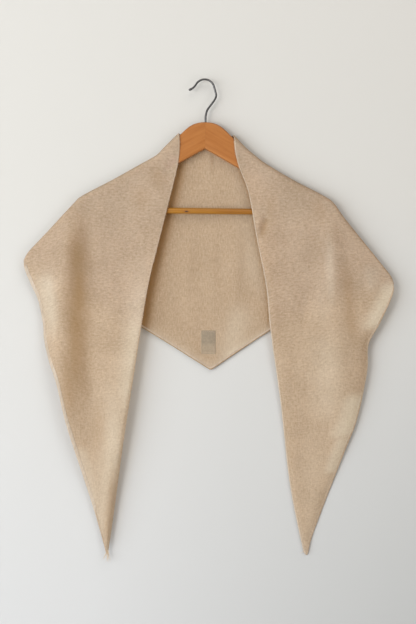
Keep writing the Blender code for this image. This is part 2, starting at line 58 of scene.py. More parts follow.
# Cloth, as in the solids but thinner
CLOTH_THICKNESS = 1.0
LEAST_STEP = 1.0  # between two lines of a level, where they meet at a tip
ARM_STANDOFF = 8.4
CORNER_STANDOFF = 3.6
ARM_END_X = 212.0
CORNER_X = 322.0
FOLD_FREE = 45.0  # from here below a fold, the cloth bends freely
OUTER_TURN = 2.2  # the short edges turn back a little
OUTER_TURN_WIDTH = 8.0

# How finely the cloth is divided
GRID = 4.3
ROUND_ROWS = 8  # rows over a quarter turn of the fold
ROUND_REACH = 1.3 * ARM_STANDOFF
BACK_ROWS = 74

Point = namedtuple("Point", "x z")


def table(columns, *rows):
    """Rows of values under the named columns of a table."""
    return [columns(*row) for row in rows]


# The cloth's outlines in the front view, as x, z
LEFT_FOLD = [
    (-48.3, -93.8), (-60.5, -105.3), (-74.7, -119.5), (-88.0, -132.8), (-114.5, -147.8),
    (-165.0, -176.1), (-218.2, -204.0), (-235.5, -219.5), (-287.0, -275.0), (-313.5, -303.0),
    (-322.0, -318.0),
]
RIGHT_FOLD = [
    (49.2, -97.0), (70.8, -119.5), (86.4, -132.8), (105.1, -147.0), (152.0, -175.3),
    (206.0, -203.4), (226.0, -217.4), (246.6, -246.0), (303.8, -317.0), (326.5, -346.0),
    (331.5, -359.0),
]
LEFT_INNER_EDGE = [
    (-48.3, -93.8), (-46.4, -113.0), (-49.6, -147.0), (-61.2, -197.4), (-86.8, -300.0),
    (-103.4, -370.8), (-125.8, -512.4), (-145.2, -636.3), (-165.2, -777.9), (-174.2, -838.5),
]
RIGHT_INNER_EDGE = [
    (49.2, -97.0), (51.7, -127.0), (58.9, -155.0), (75.2, -199.0), (89.9, -280.5), (107.0, -366.0),
    (114.0, -440.0), (132.8, -572.6), (149.0, -714.0), (171.7, -827.5), (178.0, -841.6),
]
LEFT_OUTER_EDGE = [
    (-322.0, -318.0), (-320.5, -332.0), (-309.5, -360.0), (-296.5, -389.0), (-288.0, -431.0),
    (-286.0, -456.0), (-277.0, -495.0), (-262.5, -537.0), (-247.5, -601.0), (-228.0, -665.0),
    (-201.5, -749.0), (-183.0, -813.0), (-176.4, -838.5),
]
RIGHT_OUTER_EDGE = [
    (331.5, -359.0), (329.5, -379.0), (306.2, -431.0), (287.0, -468.0), (285.0, -516.0),
    (267.3, -600.9), (245.0, -660.0), (202.5, -770.8), (187.0, -813.0), (180.2, -841.6),
]
NECK_EDGE = [
    (-48.3, -93.8), (-36.0, -97.0), (0.0, -102.0), (36.0, -99.6), (49.2, -97.0),
]
BACK_LEFT_EDGE = [
    (-321.5, -318.5), (-200.0, -388.0), (-94.9, -448.5), (8.3, -512.9),
]
BACK_RIGHT_EDGE = [
    (8.3, -512.9), (112.9, -443.0), (180.0, -405.0), (260.0, -379.0), (331.0, -366.0),
]

# How far each front end stands out, level by level, beyond its stand-off at the hanger. A level
# has the depth at both edges and at four lines between them, from left to right. soft is how
# roundly the cloth bends along those lines.
LeftLevel = namedtuple(
    "LeftLevel", "z outer ridge_x ridge valley_x valley rise_x rise roll_x roll inner soft"
)
RightLevel = namedtuple(
    "RightLevel", "z inner trough_x trough rise_x rise crest_x crest foot_x foot outer soft"
)
LEFT_LEVELS = table(
    LeftLevel,
    (-238, 0.0, -241, 6.5, -214, -0.4, -165, -0.5, -110, -0.5, 0.0, 6),
    (-256, 0.0, -242, 8.5, -210, -1.8, -165, -1.0, -115, -1.0, 0.5, 6),
    (-282, 0.0, -243, 10.5, -206, -4.5, -165, -1.5, -122, -2.0, 1.0, 7),
    (-326, 0.0, -247, 12.5, -202, -5.0, -172, -1.5, -140, -3.0, 3.0, 8),
    (-380, -2.5, -256, 14.5, -202, -3.5, -175, 0.0, -143, -1.5, 4.5, 8),
    (-433, -2.0, -262, 14.5, -204, -2.0, -172, 2.0, -146, 2.0, 6.5, 9),
    (-486, 4.5, -266, 13.0, -203, -1.0, -172, 3.5, -144, 6.5, 7.5, 9),
    (-539, 11.0, -256, 11.0, -200, -1.0, -174, 4.5, -148, 9.0, 8.0, 9),
    (-592, 9.5, -242, 8.5, -200, 0.0, -180, 4.5, -155, 9.5, 8.0, 8),
    (-645, 6.5, -224, 4.5, -203, 1.0, -188, 4.5, -162, 9.5, 7.0, 7),
    (-698, 0.0, -213, 1.5, -205, 1.5, -194, 4.0, -167, 9.0, 3.0, 5),
    (-751, -3.0, -197, -1.0, -193, 0.5, -187, 2.5, -172, 7.5, 0.0, 4),
    (-804, -2.5, -184, -1.0, -182, 0.5, -180, 1.5, -177, 3.5, -1.5, 3),
    (-840, 0.0, -176, 0.0, -175.5, 0.0, -175, 0.0, -174.5, 0.0, 0.0, 3),
)
RIGHT_LEVELS = table(
    RightLevel,
    (-238, 0.0, 122, 0.5, 189, 0.0, 221, 3.5, 238, 1.0, 0.0, 6),
    (-282, 0.0, 131, 0.0, 187, -0.5, 224, 6.0, 250, 1.0, 2.0, 7),
    (-326, -0.5, 110, 0.5, 186, -0.5, 226, 7.5, 257, 1.0, 6.0, 8),
    (-380, -1.0, 112, 0.5, 180, -0.5, 228, 9.0, 265, 2.0, 8.0, 9),
    (-433, -1.0, 120, 0.5, 171, 0.0, 231, 10.5, 270, 3.5, 5.0, 10),
    (-486, -1.0, 126, 1.0, 169, 0.5, 236, 11.0, 268, 5.0, 3.5, 11),
    (-539, -1.0, 132, 1.0, 172, 1.0, 240, 11.0, 264, 7.5, 4.5, 12),
    (-592, -0.5, 140, 1.0, 181, 2.0, 238, 10.0, 258, 7.0, 4.5, 12),
    (-645, -0.5, 146, 1.0, 202, 3.0, 228, 6.5, 242, 4.5, 3.0, 10),
    (-698, -0.5, 156, 1.0, 195, 2.5, 209, 3.5, 218, 1.5, -0.5, 8),
    (-751, -0.5, 164, 1.0, 186, 1.0, 196, 0.0, 203, -1.5, -2.5, 6),
    (-804, 0.0, 172, 0.5, 180.5, 0.0, 184, -1.0, 187, -1.5, -2.0, 5),
    (-842, 0.0, 178.4, 0.0, 178.9, 0.0, 179.3, 0.0, 179.8, 0.0, 0.0, 5),
)

# Soft creases. Each follows a line, stands out by its depth, and is as wide as given on each
# side of the line. It rises over the first share of its length and falls over the last share.
Crease = namedtuple("Crease", "top_x top_z end_x end_z left_width right_width depth rise fall")
BACK_CREASES = table(
    Crease,
    (-236, -236, -232, -390, 34, 30, 2.0, 0.45, 0.15),
    (238, -250, 232, -400, 34, 32, 2.0, 0.45, 0.15),
    (-120, -190, -96, -430, 30, 34, 1.6, 0.45, 0.35),
    (112, -200, 92, -430, 32, 30, 1.6, 0.45, 0.35),
)

# Small creases that only the fine surface has
LEFT_WRINKLES = table(
    Crease,
    (-60, -118, -74, -196, 9, 12, -2.2, 0.35, 0.5),
    (-84, -140, -92, -190, 16, 15, -1.2, 0.4, 0.5),
    (-150, -290, -156, -420, 12, 14, -1.0, 0.4, 0.5),
    (-118, -240, -134, -330, 12, 10, 0.9, 0.4, 0.5),
    (-292, -300, -276, -350, 12, 12, -1.4, 0.4, 0.5),
    (-214, -420, -200, -600, 9, 12, -1.0, 0.4, 0.5),
)
RIGHT_WRINKLES = table(
    Crease,
    (112, -234, 91, -288, 8, 6, -3.2, 0.35, 0.55),
    (99, -232, 86, -286, 6, 6, 1.4, 0.3, 0.4),
    (160, -452, 156, -540, 10, 11, -1.5, 0.4, 0.5),
    (150, -330, 152, -430, 10, 12, 0.9, 0.4, 0.5),
    (176, -380, 178, -450, 10, 11, -1.1, 0.4, 0.5),
    (288, -320, 296, -400, 10, 11, 1.2, 0.4, 0.5),
    (128, -262, 214, -250, 7, 7, 0.9, 0.4, 0.5),
    (120, -286, 200, -276, 7, 7, -0.8, 0.4, 0.5),
)
BACK_WRINKLES = table(
    Crease,
    (4, -118, 7, -182, 3, 4, -1.5, 0.4, 0.4),
    (13, -120, 16, -172, 3, 4, 1.2, 0.4, 0.4),
    (-20, -118, -28, -190, 5, 6, 1.1, 0.4, 0.4),
    (-60, -191, 66, -197, 6, 8, -1.4, 0.3, 0.3),
    (-52, -150, -44, -176, 7, 7, 1.0, 0.4, 0.4),
    (-28, -240, -36, -440, 9, 10, -0.9, 0.4, 0.5),
    (24, -250, 30, -430, 8, 10, 0.9, 0.4, 0.5),
    (60, -240, 52, -420, 9, 9, -0.9, 0.4, 0.5),
    (-62, -250, -70, -420, 9, 10, 0.9, 0.4, 0.5),
    (-170, -240, -160, -380, 12, 14, -1.6, 0.4, 0.4),
    (170, -240, 164, -370, 12, 14, -1.6, 0.4, 0.4),
)

# Bands along the outer edges where the cloth is a single thickness, with painted light on them
Band = namedtuple("Band", "is_left from_z to_z width strength")
PAINTED_LIGHT_BANDS = table(
    Band,
    (False, -348, -450, 26, 1.00),
    (False, -545, -644, 35, 1.00),
    (False, -618, -708, 24, 0.90),
    (False, -690, -842, 18, 0.30),
    (True, -350, -470, 14, 0.45),
    (True, -640, -846, 24, 0.55),
)
BAND_FADE = 22.0  # at both ends of a band
# Other places with painted light, as creases with a strength for a depth
PAINTED_LIGHT_PATCHES = table(
    Crease,
    (-282, -324, -266, -476, 24, 13, 0.80, 0.25, 0.45),
    (-97, -262, -150, -640, 22, 9, 0.82, 0.60, 0.25),
    (-150, -470, -172, -840, 32, 16, 0.72, 0.45, 0.05),
    (214, -300, 205, -470, 16, 14, 0.22, 0.40, 0.40),
    (228, -520, 178, -860, 42, 42, 0.22, 0.60, 0.05),
    (212, -420, 218, -640, 32, 32, 0.42, 0.30, 0.35),
    (286, -318, 300, -384, 16, 16, 0.50, 0.40, 0.40),
    (217, -262, 220, -424, 10, 9, 0.50, 0.30, 0.40),
)
# Painted shade on the shaded flanks of folds and in creases, as creases with a strength for a
# depth
PAINTED_SHADE_PATCHES = table(
    Crease,
    (-226, -214, -232, -640, 15, 22, 0.72, 0.25, 0.45),
    (-224, -262, -226, -500, 11, 16, 0.84, 0.40, 0.50),
    (-184, -540, -192, -700, 15, 13, 0.30, 0.40, 0.40),
    (-162, -672, -180, -828, 7, 12, 0.34, 0.35, 0.05),
    (-244, -440, -236, -620, 13, 14, 0.45, 0.40, 0.40),
    (-106, -180, -118, -240, 14, 12, 0.26, 0.40, 0.40),
    (113, -190, 113, -270, 8, 10, 0.26, 0.40, 0.40),
    (196, -200, 206, -262, 14, 14, 0.26, 0.40, 0.40),
    (244, -300, 258, -480, 9, 11, 0.34, 0.35, 0.30),
    (112, -236, 94, -284, 5, 5, 0.60, 0.30, 0.45),
    (-92, -136, -82, -208, 13, 13, 0.30, 0.40, 0.40),
)
# Painted shadow that the front ends cast on the back stretch beside their inner edges
SHADOW_MARGIN = 15.0  # on the back stretch, beside the left end's inner edge
SHADOW_DEEPNESS = 1.1
NARROW_SHADOW_MARGIN = 3.0  # and beside the right one's
NARROW_SHADOW_DEEPNESS = 0.7
# Painted light on the back stretch's lit side, and on a patch beside its corner
BACK_PAINTED_LIGHT_PATCHES = table(
    Crease,
    (84, -110, 98, -410, 30, 60, 0.52, 0.20, 0.30),
    (66, -380, 40, -504, 22, 24, 0.60, 0.40, 0.20),
)
# Painted light along the back stretch's lower edges, and a little over all of it
PAINTED_LIGHT_MARGIN = 10.0  # along the back stretch's lower edges
PAINTED_LIGHT_MARGIN_STRENGTH = 0.5
BACK_PAINTED_LIGHT_OVERALL = 0.05
BACK_DEEPNESS = 0.14
# How far the threads that run down show over those that run across, low on the front ends
LENGTHWISE_LOW = 0.6
LENGTHWISE_START_Z = -400.0
LENGTHWISE_FULL_Z = -650.0

# How the cloth rolls back beside an inner edge, and how far a front end hangs back lower down
Roll = namedtuple("Roll", "depth width start_z full_z")
LEFT_ROLL = Roll(2.5, 3.5, -400.0, -520.0)
RIGHT_ROLL = Roll(2.0, 5.0, -200.0, -300.0)
Hang = namedtuple("Hang", "depth start_z full_z")
LEFT_HANG = Hang(6.0, -500.0, -840.0)
RIGHT_HANG = Hang(15.0, -372.0, -700.0)

# How far the threads of a front end turn from upright
LEFT_TILT = math.radians(2.0)
RIGHT_TILT = math.radians(-4.0)
Side = namedtuple("Side", "fold inner outer levels wrinkles roll hang tilt")

# Ripples all over the cloth: waves of random length and direction
RIPPLE_SEED = 7
RIPPLE_COUNT = 26
RIPPLE_SHORT = 34.0
RIPPLE_LONG = 150.0
RIPPLE_HEIGHT = 0.26
RIPPLE_SLANT = 0.5  # radians, the most that a wave is turned
RIPPLE_STRETCH = 0.45  # of a height, so that waves are longer up and down

# Hem
HEM_ROWS = 2  # rows of a front end for each station of the hem
HEM_MOST = 0.45  # the most of the way across that it takes near a tip
HEM_WIDTH = 4.6
LONG_HEM_WIDTH = 3.0
LEFT_HEM_WIDTH = 7.5  # the left short edge is turned wider, down to its notch
LEFT_HEM_OUTSIDE_X = -170.0
LEFT_HEM_TOP_Z = -330.0
LEFT_HEM_NOTCH_Z = -762.0
HEM_PUCKER = 0.12
HEM_PUCKER_LENGTH = 2.9
HEM_UNEVENNESS = 0.06
WIDE_HEM_SWELL = 1.7  # how much thicker the wide strip is
# Painted light on the wide strip, painted shade along it where it is sewn down, and a painted
# highlight on the long hem down the right end
WIDE_HEM_PAINTED_LIGHT = 0.6
WIDE_HEM_SEWN_SHADE = 1.0  # how deep in tone the strip is where it is sewn down
LIT_HEM_PAINTED_LIGHT = 0.7  # of the long hem down the right end
LIT_HEM_FROM_X = 50.0
CORNER_HEM_REACH = 175.0  # the hem of the back stretch's corner lies within this X
CORNER_HEM_LOW_Z = -520.0  # and above this height
# Painted light on the back stretch's corner hem, and painted shade along its very edge
CORNER_HEM_PAINTED_LIGHT = 0.45
CORNER_HEM_EDGE_SHADE = 1.0  # how deep in tone that hem is along its very edge
HEM_SECTION = [  # distance from the edge as a share of the hem's width, height
    (1.06, 0.40), (0.94, 0.64), (0.70, 0.70), (0.40, 0.72), (0.12, 0.66), (-0.05, 0.40),
    (-0.09, 0.0),
]
Station = namedtuple("Station", "place inner inward normal width")
HEM_JOIN = 0.00001  # metres, between points of the hem that become one
THREAD_PITCH = 0.0006  # metres, from one thread to the next
STITCH_PITCH = 4.4
STITCH_LENGTH = 2.7
STITCH_RADIUS = 0.24
STITCH_LIFT = 0.80
STITCH_SIDES = 6
# Share of a stitch's length, share of its radius
STITCH_SECTION = [(0.0, 0.35), (0.12, 0.85), (0.5, 1.0), (0.88, 0.85), (1.0, 0.35)]

# Loose fibres
FIBRE_TAPER = 0.7
FRAY_RADIUS = 0.36
FRAY_SEED = 3
FRAYS = [(18, 21.0), (6, 6.0)]  # how many at the left and the right tip, and their length
# Least and most in x, y, z: of a loose end's root, of where it leads and of its bend
FRAY_ROOT = (-2.0, -0.5, 2.0), (1.5, 0.5, 9.0)
FRAY_FAN = (-10.0, -0.7, 0.0), (4.0, 0.7, 0.0)
FRAY_BEND = (-3.0, -0.3, 0.0), (3.0, 0.3, 2.0)
NAP_RADIUS = 0.065
NAP_DENSITY = 2.2  # for each millimetre of fold or edge
NAP_SHORT = 0.9
NAP_LONG = 2.4
NAP_SEED = 8
NAP_SCATTER = 0.45
NAP_BEND = 0.3
NAP_FOLD_SPREAD = 0.5  # how far round the fibres lean, over a fold and at an edge
NAP_EDGE_SPREAD = 0.3
NAP_FOLD_ROW = 6  # the row below a fold that shows which way is outwards

# Label
LABEL_CENTRE_X = 4.4
LABEL_CENTRE_Z = -463.5
LABEL_WIDTH = 25.0
LABEL_HEIGHT = 41.0
LABEL_THICKNESS = 0.6
LABEL_COLUMNS = 18
LABEL_ROWS = 28
LABEL_SINK = 0.1  # into the cloth
LABEL_BELLY = 0.7  # how far its middle stands out
LABEL_RIM = 0.2
LABEL_STITCHES = 11  # in each of two rows
LABEL_STITCH_ROW = 22.0
LABEL_STITCH_INSET = 1.6
LABEL_STITCH_LENGTH = 1.3
LABEL_STITCH_LIFT = 0.12
LABEL_STITCH_RADIUS = 0.16

# Hanger
HANGER_LEAN = math.radians(0.7)
ARM_THICKNESS = 12.0
ARM_BEVEL = 3.0
ARM_GRAIN_ANGLE = math.radians(29.0)
GLUE_GAP = 0.06
BAR_RADIUS = 5.2
BAR_Z = -231.2
BAR_HALF_LENGTH = 211.0
BAR_SEED = 11
BAR_STATIONS = 60
BAR_WAVE = 0.06  # how much its radius swells and shrinks along its length
BAR_UNEVENNESS = 0.02
BAR_END_ROUND = 0.9
BAR_KNOT = (-0.0316, BAR_Z * MM - 0.0014, 0.0062, 0.0024)  # metres: x, z, length, height
WIRE_RADIUS = 1.75
HOOK_RADIUS = 17.2
HOOK_CENTRE_X = -2.3
CROWN_START = 150.0
CROWN_END = 15.0
STEM_TOP_Z = -64.0
HOOK_END_Z = -99.0
HOOK_FLARE_BEND = Point(-21.8, -14.6)
HOOK_FLARE_END = Point(-29.2, -16.8)
HOOK_BEAD = (0.45, 1.05, 1.30, 1.26, 1.12)  # swell of the wire's end, as shares of its radius
HOOK_SWEEP = [
    (16.8, -19.0), (18.3, -26.5), (16.0, -33.6), (9.4, -43.2), (2.6, -53.2), (0.0, STEM_TOP_Z),
]
ARM_TOP = [  # from the top of the glued joint round the arm's end
    (0.0, -74.2), (10.0, -75.0), (20.0, -77.8), (29.0, -82.8), (37.0, -89.6), (45.0, -97.6),
    (54.0, -106.4), (65.0, -117.4), (77.0, -129.0), (90.0, -140.8), (104.0, -151.0),
    (120.0, -160.2), (163.0, -182.6), (206.0, -204.6), (216.0, -211.0), (222.0, -218.4),
    (224.0, -228.0), (221.0, -237.4), (213.0, -242.4), (204.0, -240.6), (195.0, -231.8),
]
ARM_NOTCH = Point(0.0, -121.2)

# Studio
WALL_Y = 12.6
WALL_TOP_Z = 1800.0
FLOOR_Z = -1500.0
STUDIO_HALF = 4000.0
SKY_COLOR = (1.0, 0.92, 0.83, 1.0)
SKY_STRENGTH = 0.29
CAMERA_DISTANCE = 2200.0
CAMERA_AIM = Point(3.5, -409.8)
PICTURE_HEIGHT = 1104.5  # what the camera sees at the hanger's distance
Light = namedtuple("Light", "name place aim width height watts color")  # in metres
LIGHTS = table(
    Light,
    ("window", (-2.5, -1.65, -0.50), (0.0, 0.0, -0.42), 2.0, 2.2, 58.5, (0.90, 0.96, 1.0)),
    ("doorway", (-1.35, -2.30, -0.30), (0.0, 0.0, -0.42), 0.70, 1.1, 24.0, (1.0, 0.97, 0.93)),
    ("fill", (1.6, -2.0, -0.9), (0.1, 0.0, -0.5), 1.2, 1.2, 9.5, (0.95, 0.97, 1.0)),
    ("ceiling", (0.4, -1.5, 1.6), (0.0, 0.0, -0.2), 2.4, 1.4, 26.0, (1.0, 0.93, 0.84)),
)


def smoothstep(value):
    t = np.clip(value, 0.0, 1.0)
    return t * t * (3.0 - 2.0 * t)


def ramp(value, start, full):
    return smoothstep((value - start) / (full - start))


def bell(distance, width):
    return np.exp(-((distance / width) ** 2))


def smooth_line(points, steps=10):
    """A Catmull-Rom curve through the points, as an array with a row for each point."""
    known = np.array(points, float)
    padded = np.vstack([2 * known[0] - known[1], known, 2 * known[-1] - known[-2]])
    line = [known[0]]
    for i in range(len(known) - 1):
        p0, p1, p2, p3 = padded[i:i + 4]
        for step in range(1, steps + 1):
            t = step / steps
            line.append(
                (-0.5 * t + t * t - 0.5 * t ** 3) * p0
                + (1.0 - 2.5 * t * t + 1.5 * t ** 3) * p1
                + (0.5 * t + 2.0 * t * t - 1.5 * t ** 3) * p2
                + (-0.5 * t * t + 0.5 * t ** 3) * p3
            )
    return np.array(line)


def lengths_along(line):
    return np.concatenate([[0.0], np.cumsum(np.linalg.norm(np.diff(line, axis=0), axis=1))])


def read_at(wanted, known, rows):
    """Rows that are given at known places, read off at the wanted ones."""
    return np.stack([np.interp(wanted, known, column) for column in rows.T], axis=-1)


def points_at(line, shares):
    total = lengths_along(line)
    return read_at(shares * total[-1], total, line)


def distance_to(line, x, z):
    nearest = np.full(x.shape, np.inf)
    for (ax, az), (bx, bz) in zip(line, line[1:]):
        dx, dz = bx - ax, bz - az
        t = np.clip(((x - ax) * dx + (z - az) * dz) / (dx * dx + dz * dz), 0.0, 1.0)
        nearest = np.minimum(nearest, np.hypot(x - ax - t * dx, z - az - t * dz))
    return nearest


def make_side(fold, inner, outer, levels, *others):
    """A front end, with smooth outlines and levels."""
    return Side(*[smooth_line(line) for line in (fold, inner, outer, levels)], *others)


LEFT = make_side(
    LEFT_FOLD, LEFT_INNER_EDGE, LEFT_OUTER_EDGE, LEFT_LEVELS, LEFT_WRINKLES, LEFT_ROLL, LEFT_HANG,
    LEFT_TILT,
)
RIGHT = make_side(
    RIGHT_FOLD, RIGHT_INNER_EDGE, RIGHT_OUTER_EDGE, RIGHT_LEVELS, RIGHT_WRINKLES, RIGHT_ROLL,
    RIGHT_HANG, RIGHT_TILT,
)
NECK_LINE = smooth_line(NECK_EDGE)
BACK_BOTTOM_LINE = np.vstack([smooth_line(BACK_LEFT_EDGE), smooth_line(BACK_RIGHT_EDGE)[1:]])
# Distances of the close rows from a fold, over its round
ROUND_TURN = ROUND_REACH * (1.0 - np.cos(math.pi / 2 * (np.arange(ROUND_ROWS + 1) / ROUND_ROWS)))


# ---------------------------------------------------------------- the cloth's form


def over_the_fold(x, fold_distance):
    """Depth of the round fold at a distance from its crest, as a quarter circle, then flat."""
    towards_corner = ramp(np.abs(x), ARM_END_X, CORNER_X)
    radius = ARM_STANDOFF + towards_corner * (CORNER_STANDOFF - ARM_STANDOFF)
    rise = 1.0 - np.minimum(1.0, fold_distance / radius)
    return radius * np.sqrt(np.maximum(0.0, 1.0 - rise * rise))


def crease_depth(crease, x, z):
    dx, dz = crease.end_x - crease.top_x, crease.end_z - crease.top_z
    length = math.hypot(dx, dz)
    along = ((x - crease.top_x) * dx + (z - crease.top_z) * dz) / length ** 2
    aside = ((z - crease.top_z) * dx - (x - crease.top_x) * dz) / length
    width = np.where(aside > 0.0, crease.right_width, crease.left_width)
    strength = smoothstep(along / crease.rise) * smoothstep((1.0 - along) / crease.fall)
    return crease.depth * strength * bell(aside, width)


def soft_ramp(distance, soft):
    """Nothing before a line and the distance after it, with a round bend between."""
    return 0.5 * (distance + np.sqrt(distance * distance + soft * soft))


def level_depth(side, x, z):
    """Depth between a front end's edges, from its table of levels."""
    known_z, *columns = side.levels[::-1].T
    *level, soft = [np.interp(z, known_z, column) for column in columns]
    first, last = side_edges(side, z)
    stops = [first, *level[1:-1:2], last]
    depths = [*level[:-1:2], level[-1]]
    for i in range(1, len(stops)):
        stops[i] = np.maximum(stops[i], stops[i - 1] + LEAST_STEP)
    slopes = [
        (depths[i + 1] - depths[i]) / (stops[i + 1] - stops[i]) for i in range(len(stops) - 1)
    ]
    depth = depths[0] + slopes[0] * (x - stops[0])
    for i in range(1, len(slopes)):
        depth += (slopes[i] - slopes[i - 1]) * soft_ramp(x - stops[i], soft)
    return depth


def side_edges(side, z):
    """X of a front end's left and right edge at a height. The fold is its edge higher up."""
    outer = np.vstack([side.fold, side.outer[1:]])[::-1]
    inner = side.inner[::-1]
    outer_x = np.interp(z, outer[:, 1], outer[:, 0])
    inner_x = np.interp(z, inner[:, 1], inner[:, 0])
    return np.minimum(outer_x, inner_x), np.maximum(outer_x, inner_x)


def ripples(x, z):
    """Gentle unevenness all over, longer up and down than across."""
    dice = random.Random(RIPPLE_SEED)
    total = np.zeros(x.shape)
    for _ in range(RIPPLE_COUNT):
        length = RIPPLE_SHORT * (RIPPLE_LONG / RIPPLE_SHORT) ** dice.random()
        angle = dice.uniform(-RIPPLE_SLANT, RIPPLE_SLANT)
        phase = dice.uniform(0.0, 2 * math.pi)
        across = x * math.cos(angle) + RIPPLE_STRETCH * z * math.sin(angle)
        total += length / RIPPLE_LONG * np.sin(2 * math.pi * across / length + phase)
    return RIPPLE_HEIGHT * total


def front_depth(side, x, z):
    """Y of a front end's middle surface."""
    fold_distance = distance_to(side.fold, x, z)
    depth = over_the_fold(x, fold_distance)
    freed = smoothstep(fold_distance / FOLD_FREE)
    depth += freed * level_depth(side, x, z)
    for crease in side.wrinkles:
        depth += freed * crease_depth(crease, x, z)
    roll, hang = side.roll, side.hang
    rolled = roll.depth * ramp(z, roll.start_z, roll.full_z)
    depth -= rolled * bell(distance_to(side.inner, x, z), roll.width)
    depth -= freed * OUTER_TURN * bell(distance_to(side.outer, x, z), OUTER_TURN_WIDTH)
    depth += freed * ripples(x, z)
    return hang.depth * ramp(z, hang.start_z, hang.full_z) - depth


def back_depth(x, z):
    """Y of the back stretch's middle surface."""
    fold_distance = np.minimum(distance_to(LEFT.fold, x, z), distance_to(RIGHT.fold, x, z))
    depth = over_the_fold(x, fold_distance)
    freed = smoothstep(fold_distance / FOLD_FREE)
    for crease in BACK_CREASES + BACK_WRINKLES:
        depth += freed * crease_depth(crease, x, z)
    return depth + freed * ripples(-x, z)


def front_points(side):
    """Points of a front end, a row for each distance below the fold, from inner to outer edge."""
    length = lengths_along(side.inner)[-1]
    count = max(2, round((length - ROUND_REACH) / GRID))
    even = ROUND_REACH + (length - ROUND_REACH) * np.arange(1, count + 1) / count
    v = np.concatenate([ROUND_TURN, even]) / length
    columns = round(lengths_along(side.fold)[-1] / GRID)
    u = np.arange(columns + 1) / columns
    top = points_at(side.fold, u)[None, :, :]
    inner = points_at(side.inner, v)[:, None, :]
    outer = points_at(side.outer, v)[:, None, :]
    neck, corner = side.fold[0], side.fold[-1]
    tip_in, tip_out = side.inner[-1], side.outer[-1]
    u, v = u[None, :, None], v[:, None, None]
    flat = (1 - v) * top + v * ((1 - u) * tip_in + u * tip_out)
    flat = flat + (1 - u) * (inner - (1 - v) * neck - v * tip_in)
    flat = flat + u * (outer - (1 - v) * corner - v * tip_out)
    x, z = flat[..., 0], flat[..., 1]
    return np.stack([x, front_depth(side, x, z), z], axis=-1)


def back_points(left_top, right_top):
    """Points of the back stretch, whose top row holds both folds and the neck edge."""
    neck_count = round(lengths_along(NECK_LINE)[-1] / GRID)
    neck = points_at(NECK_LINE, np.arange(1, neck_count) / neck_count)
    top = np.vstack([left_top[::-1], neck, right_top])
    x = np.broadcast_to(top[:, 0], (BACK_ROWS + 1, len(top)))
    height = top[:, 1] - np.interp(top[:, 0], BACK_BOTTOM_LINE[:, 0], BACK_BOTTOM_LINE[:, 1])
    turn = ROUND_TURN[:, None] * np.minimum(1.0, height / (4 * ROUND_REACH))
    rest = np.arange(1, BACK_ROWS - ROUND_ROWS + 1)[:, None] / (BACK_ROWS - ROUND_ROWS)
    z = top[:, 1] - np.vstack([turn, turn[-1] + (height - turn[-1]) * rest])
    return np.stack([x, back_depth(x, z), z], axis=-1)


def thread_grid(points, tilt):
    """Where each point lies along both thread directions, which are level and upright but for
    a small tilt."""
    x, y, z = points[..., 0], points[..., 1], points[..., 2]
    down = np.abs(y) - z
    return np.stack(
        [x * math.cos(tilt) + down * math.sin(tilt), down * math.cos(tilt) - x * math.sin(tilt)],
        axis=-1,
    )


def link(name, data):
    made = bpy.data.objects.new(name, data)
    bpy.context.scene.collection.objects.link(made)
    return made


def cell_corners(grid, flip):
    """What a grid holds at the four corners of each cell, in order round it."""
    corners = [grid[:-1, :-1], grid[1:, :-1], grid[1:, 1:], grid[:-1, 1:]]
    return np.stack(corners[::-1] if flip else corners, axis=2)


class Surface:
    """Vertices and faces gathered from grids that may share a row of vertices."""

    def __init__(self):
        self.vertices = []
        self.faces = []
        self.threads = []

    def add_grid(self, points, threads, shared_top=None, flip=False):
        rows, columns = points.shape[:2]
        index = np.arange(rows * columns).reshape(rows, columns) + len(self.vertices)
        if shared_top is not None:
            index -= columns
            index[0] = shared_top
            points = points[1:]
        self.vertices += points.reshape(-1, 3).tolist()
        self.faces += cell_corners(index, flip).reshape(-1, 4).tolist()
        self.threads += cell_corners(threads, flip).reshape(-1, 2).tolist()
        return index

    def add_tube(self, rings):
        """A capped tube of any section: rings has a row of points for each station."""
        stations, count = rings.shape[:2]
        start = len(self.vertices)
        self.vertices += rings.reshape(-1, 3).tolist()
        last = start + (stations - 1) * count
        for ring in range(start, last, count):
            for k in range(count):
                a, b = ring + k, ring + (k + 1) % count
                self.faces.append([a, b, b + count, a + count])
        self.faces.append(list(range(start + count - 1, start - 1, -1)))
        self.faces.append(list(range(last, last + count)))

    def make(self, name, material):
        mesh = bpy.data.meshes.new(name)
        mesh.from_pydata([[c * MM for c in vertex] for vertex in self.vertices], [], self.faces)
        if self.threads:
            layer = mesh.uv_layers.new(name="threads")
            layer.data.foreach_set("uv", (np.array(self.threads) * MM).astype(np.float32).ravel())
        mesh.shade_smooth()
        mesh.materials.append(material)
        return link(name, mesh)


def circle(sides):
    """Cosine and sine at even steps round a circle, each as a column."""
    angles = np.arange(sides) * 2 * math.pi / sides
    return np.cos(angles)[:, None], np.sin(angles)[:, None]


def thicken(piece, thickness):
    wall = piece.modifiers.new("thickness", "SOLIDIFY")
    wall.thickness = thickness * MM
    wall.offset = 0.0


# ---------------------------------------------------------------- materials


def tone(red, green, blue):
    """A display colour, 0 to 255, as the linear colour that shaders take."""
    def linear(value):
        share = value / 255.0
        return share / 12.92 if share <= 0.04045 else ((share + 0.055) / 1.055) ** 2.4
    return linear(red), linear(green), linear(blue), 1.0


WOOL_DEEP = tone(203, 184, 158)
WOOL_PALE = tone(238, 226, 209)
# Painted light: the colours that "pale" mixes in
PAINTED_LIGHT_DEEP = tone(228, 221, 206)
PAINTED_LIGHT_PALE = tone(250, 248, 243)
# Painted shade: the tone that "deep" mixes in
PAINTED_SHADE_TONE = tone(189, 153, 94)
GLOW_TINT = (1.0, 0.84, 0.50, 1.0)  # of the light that comes through the cloth


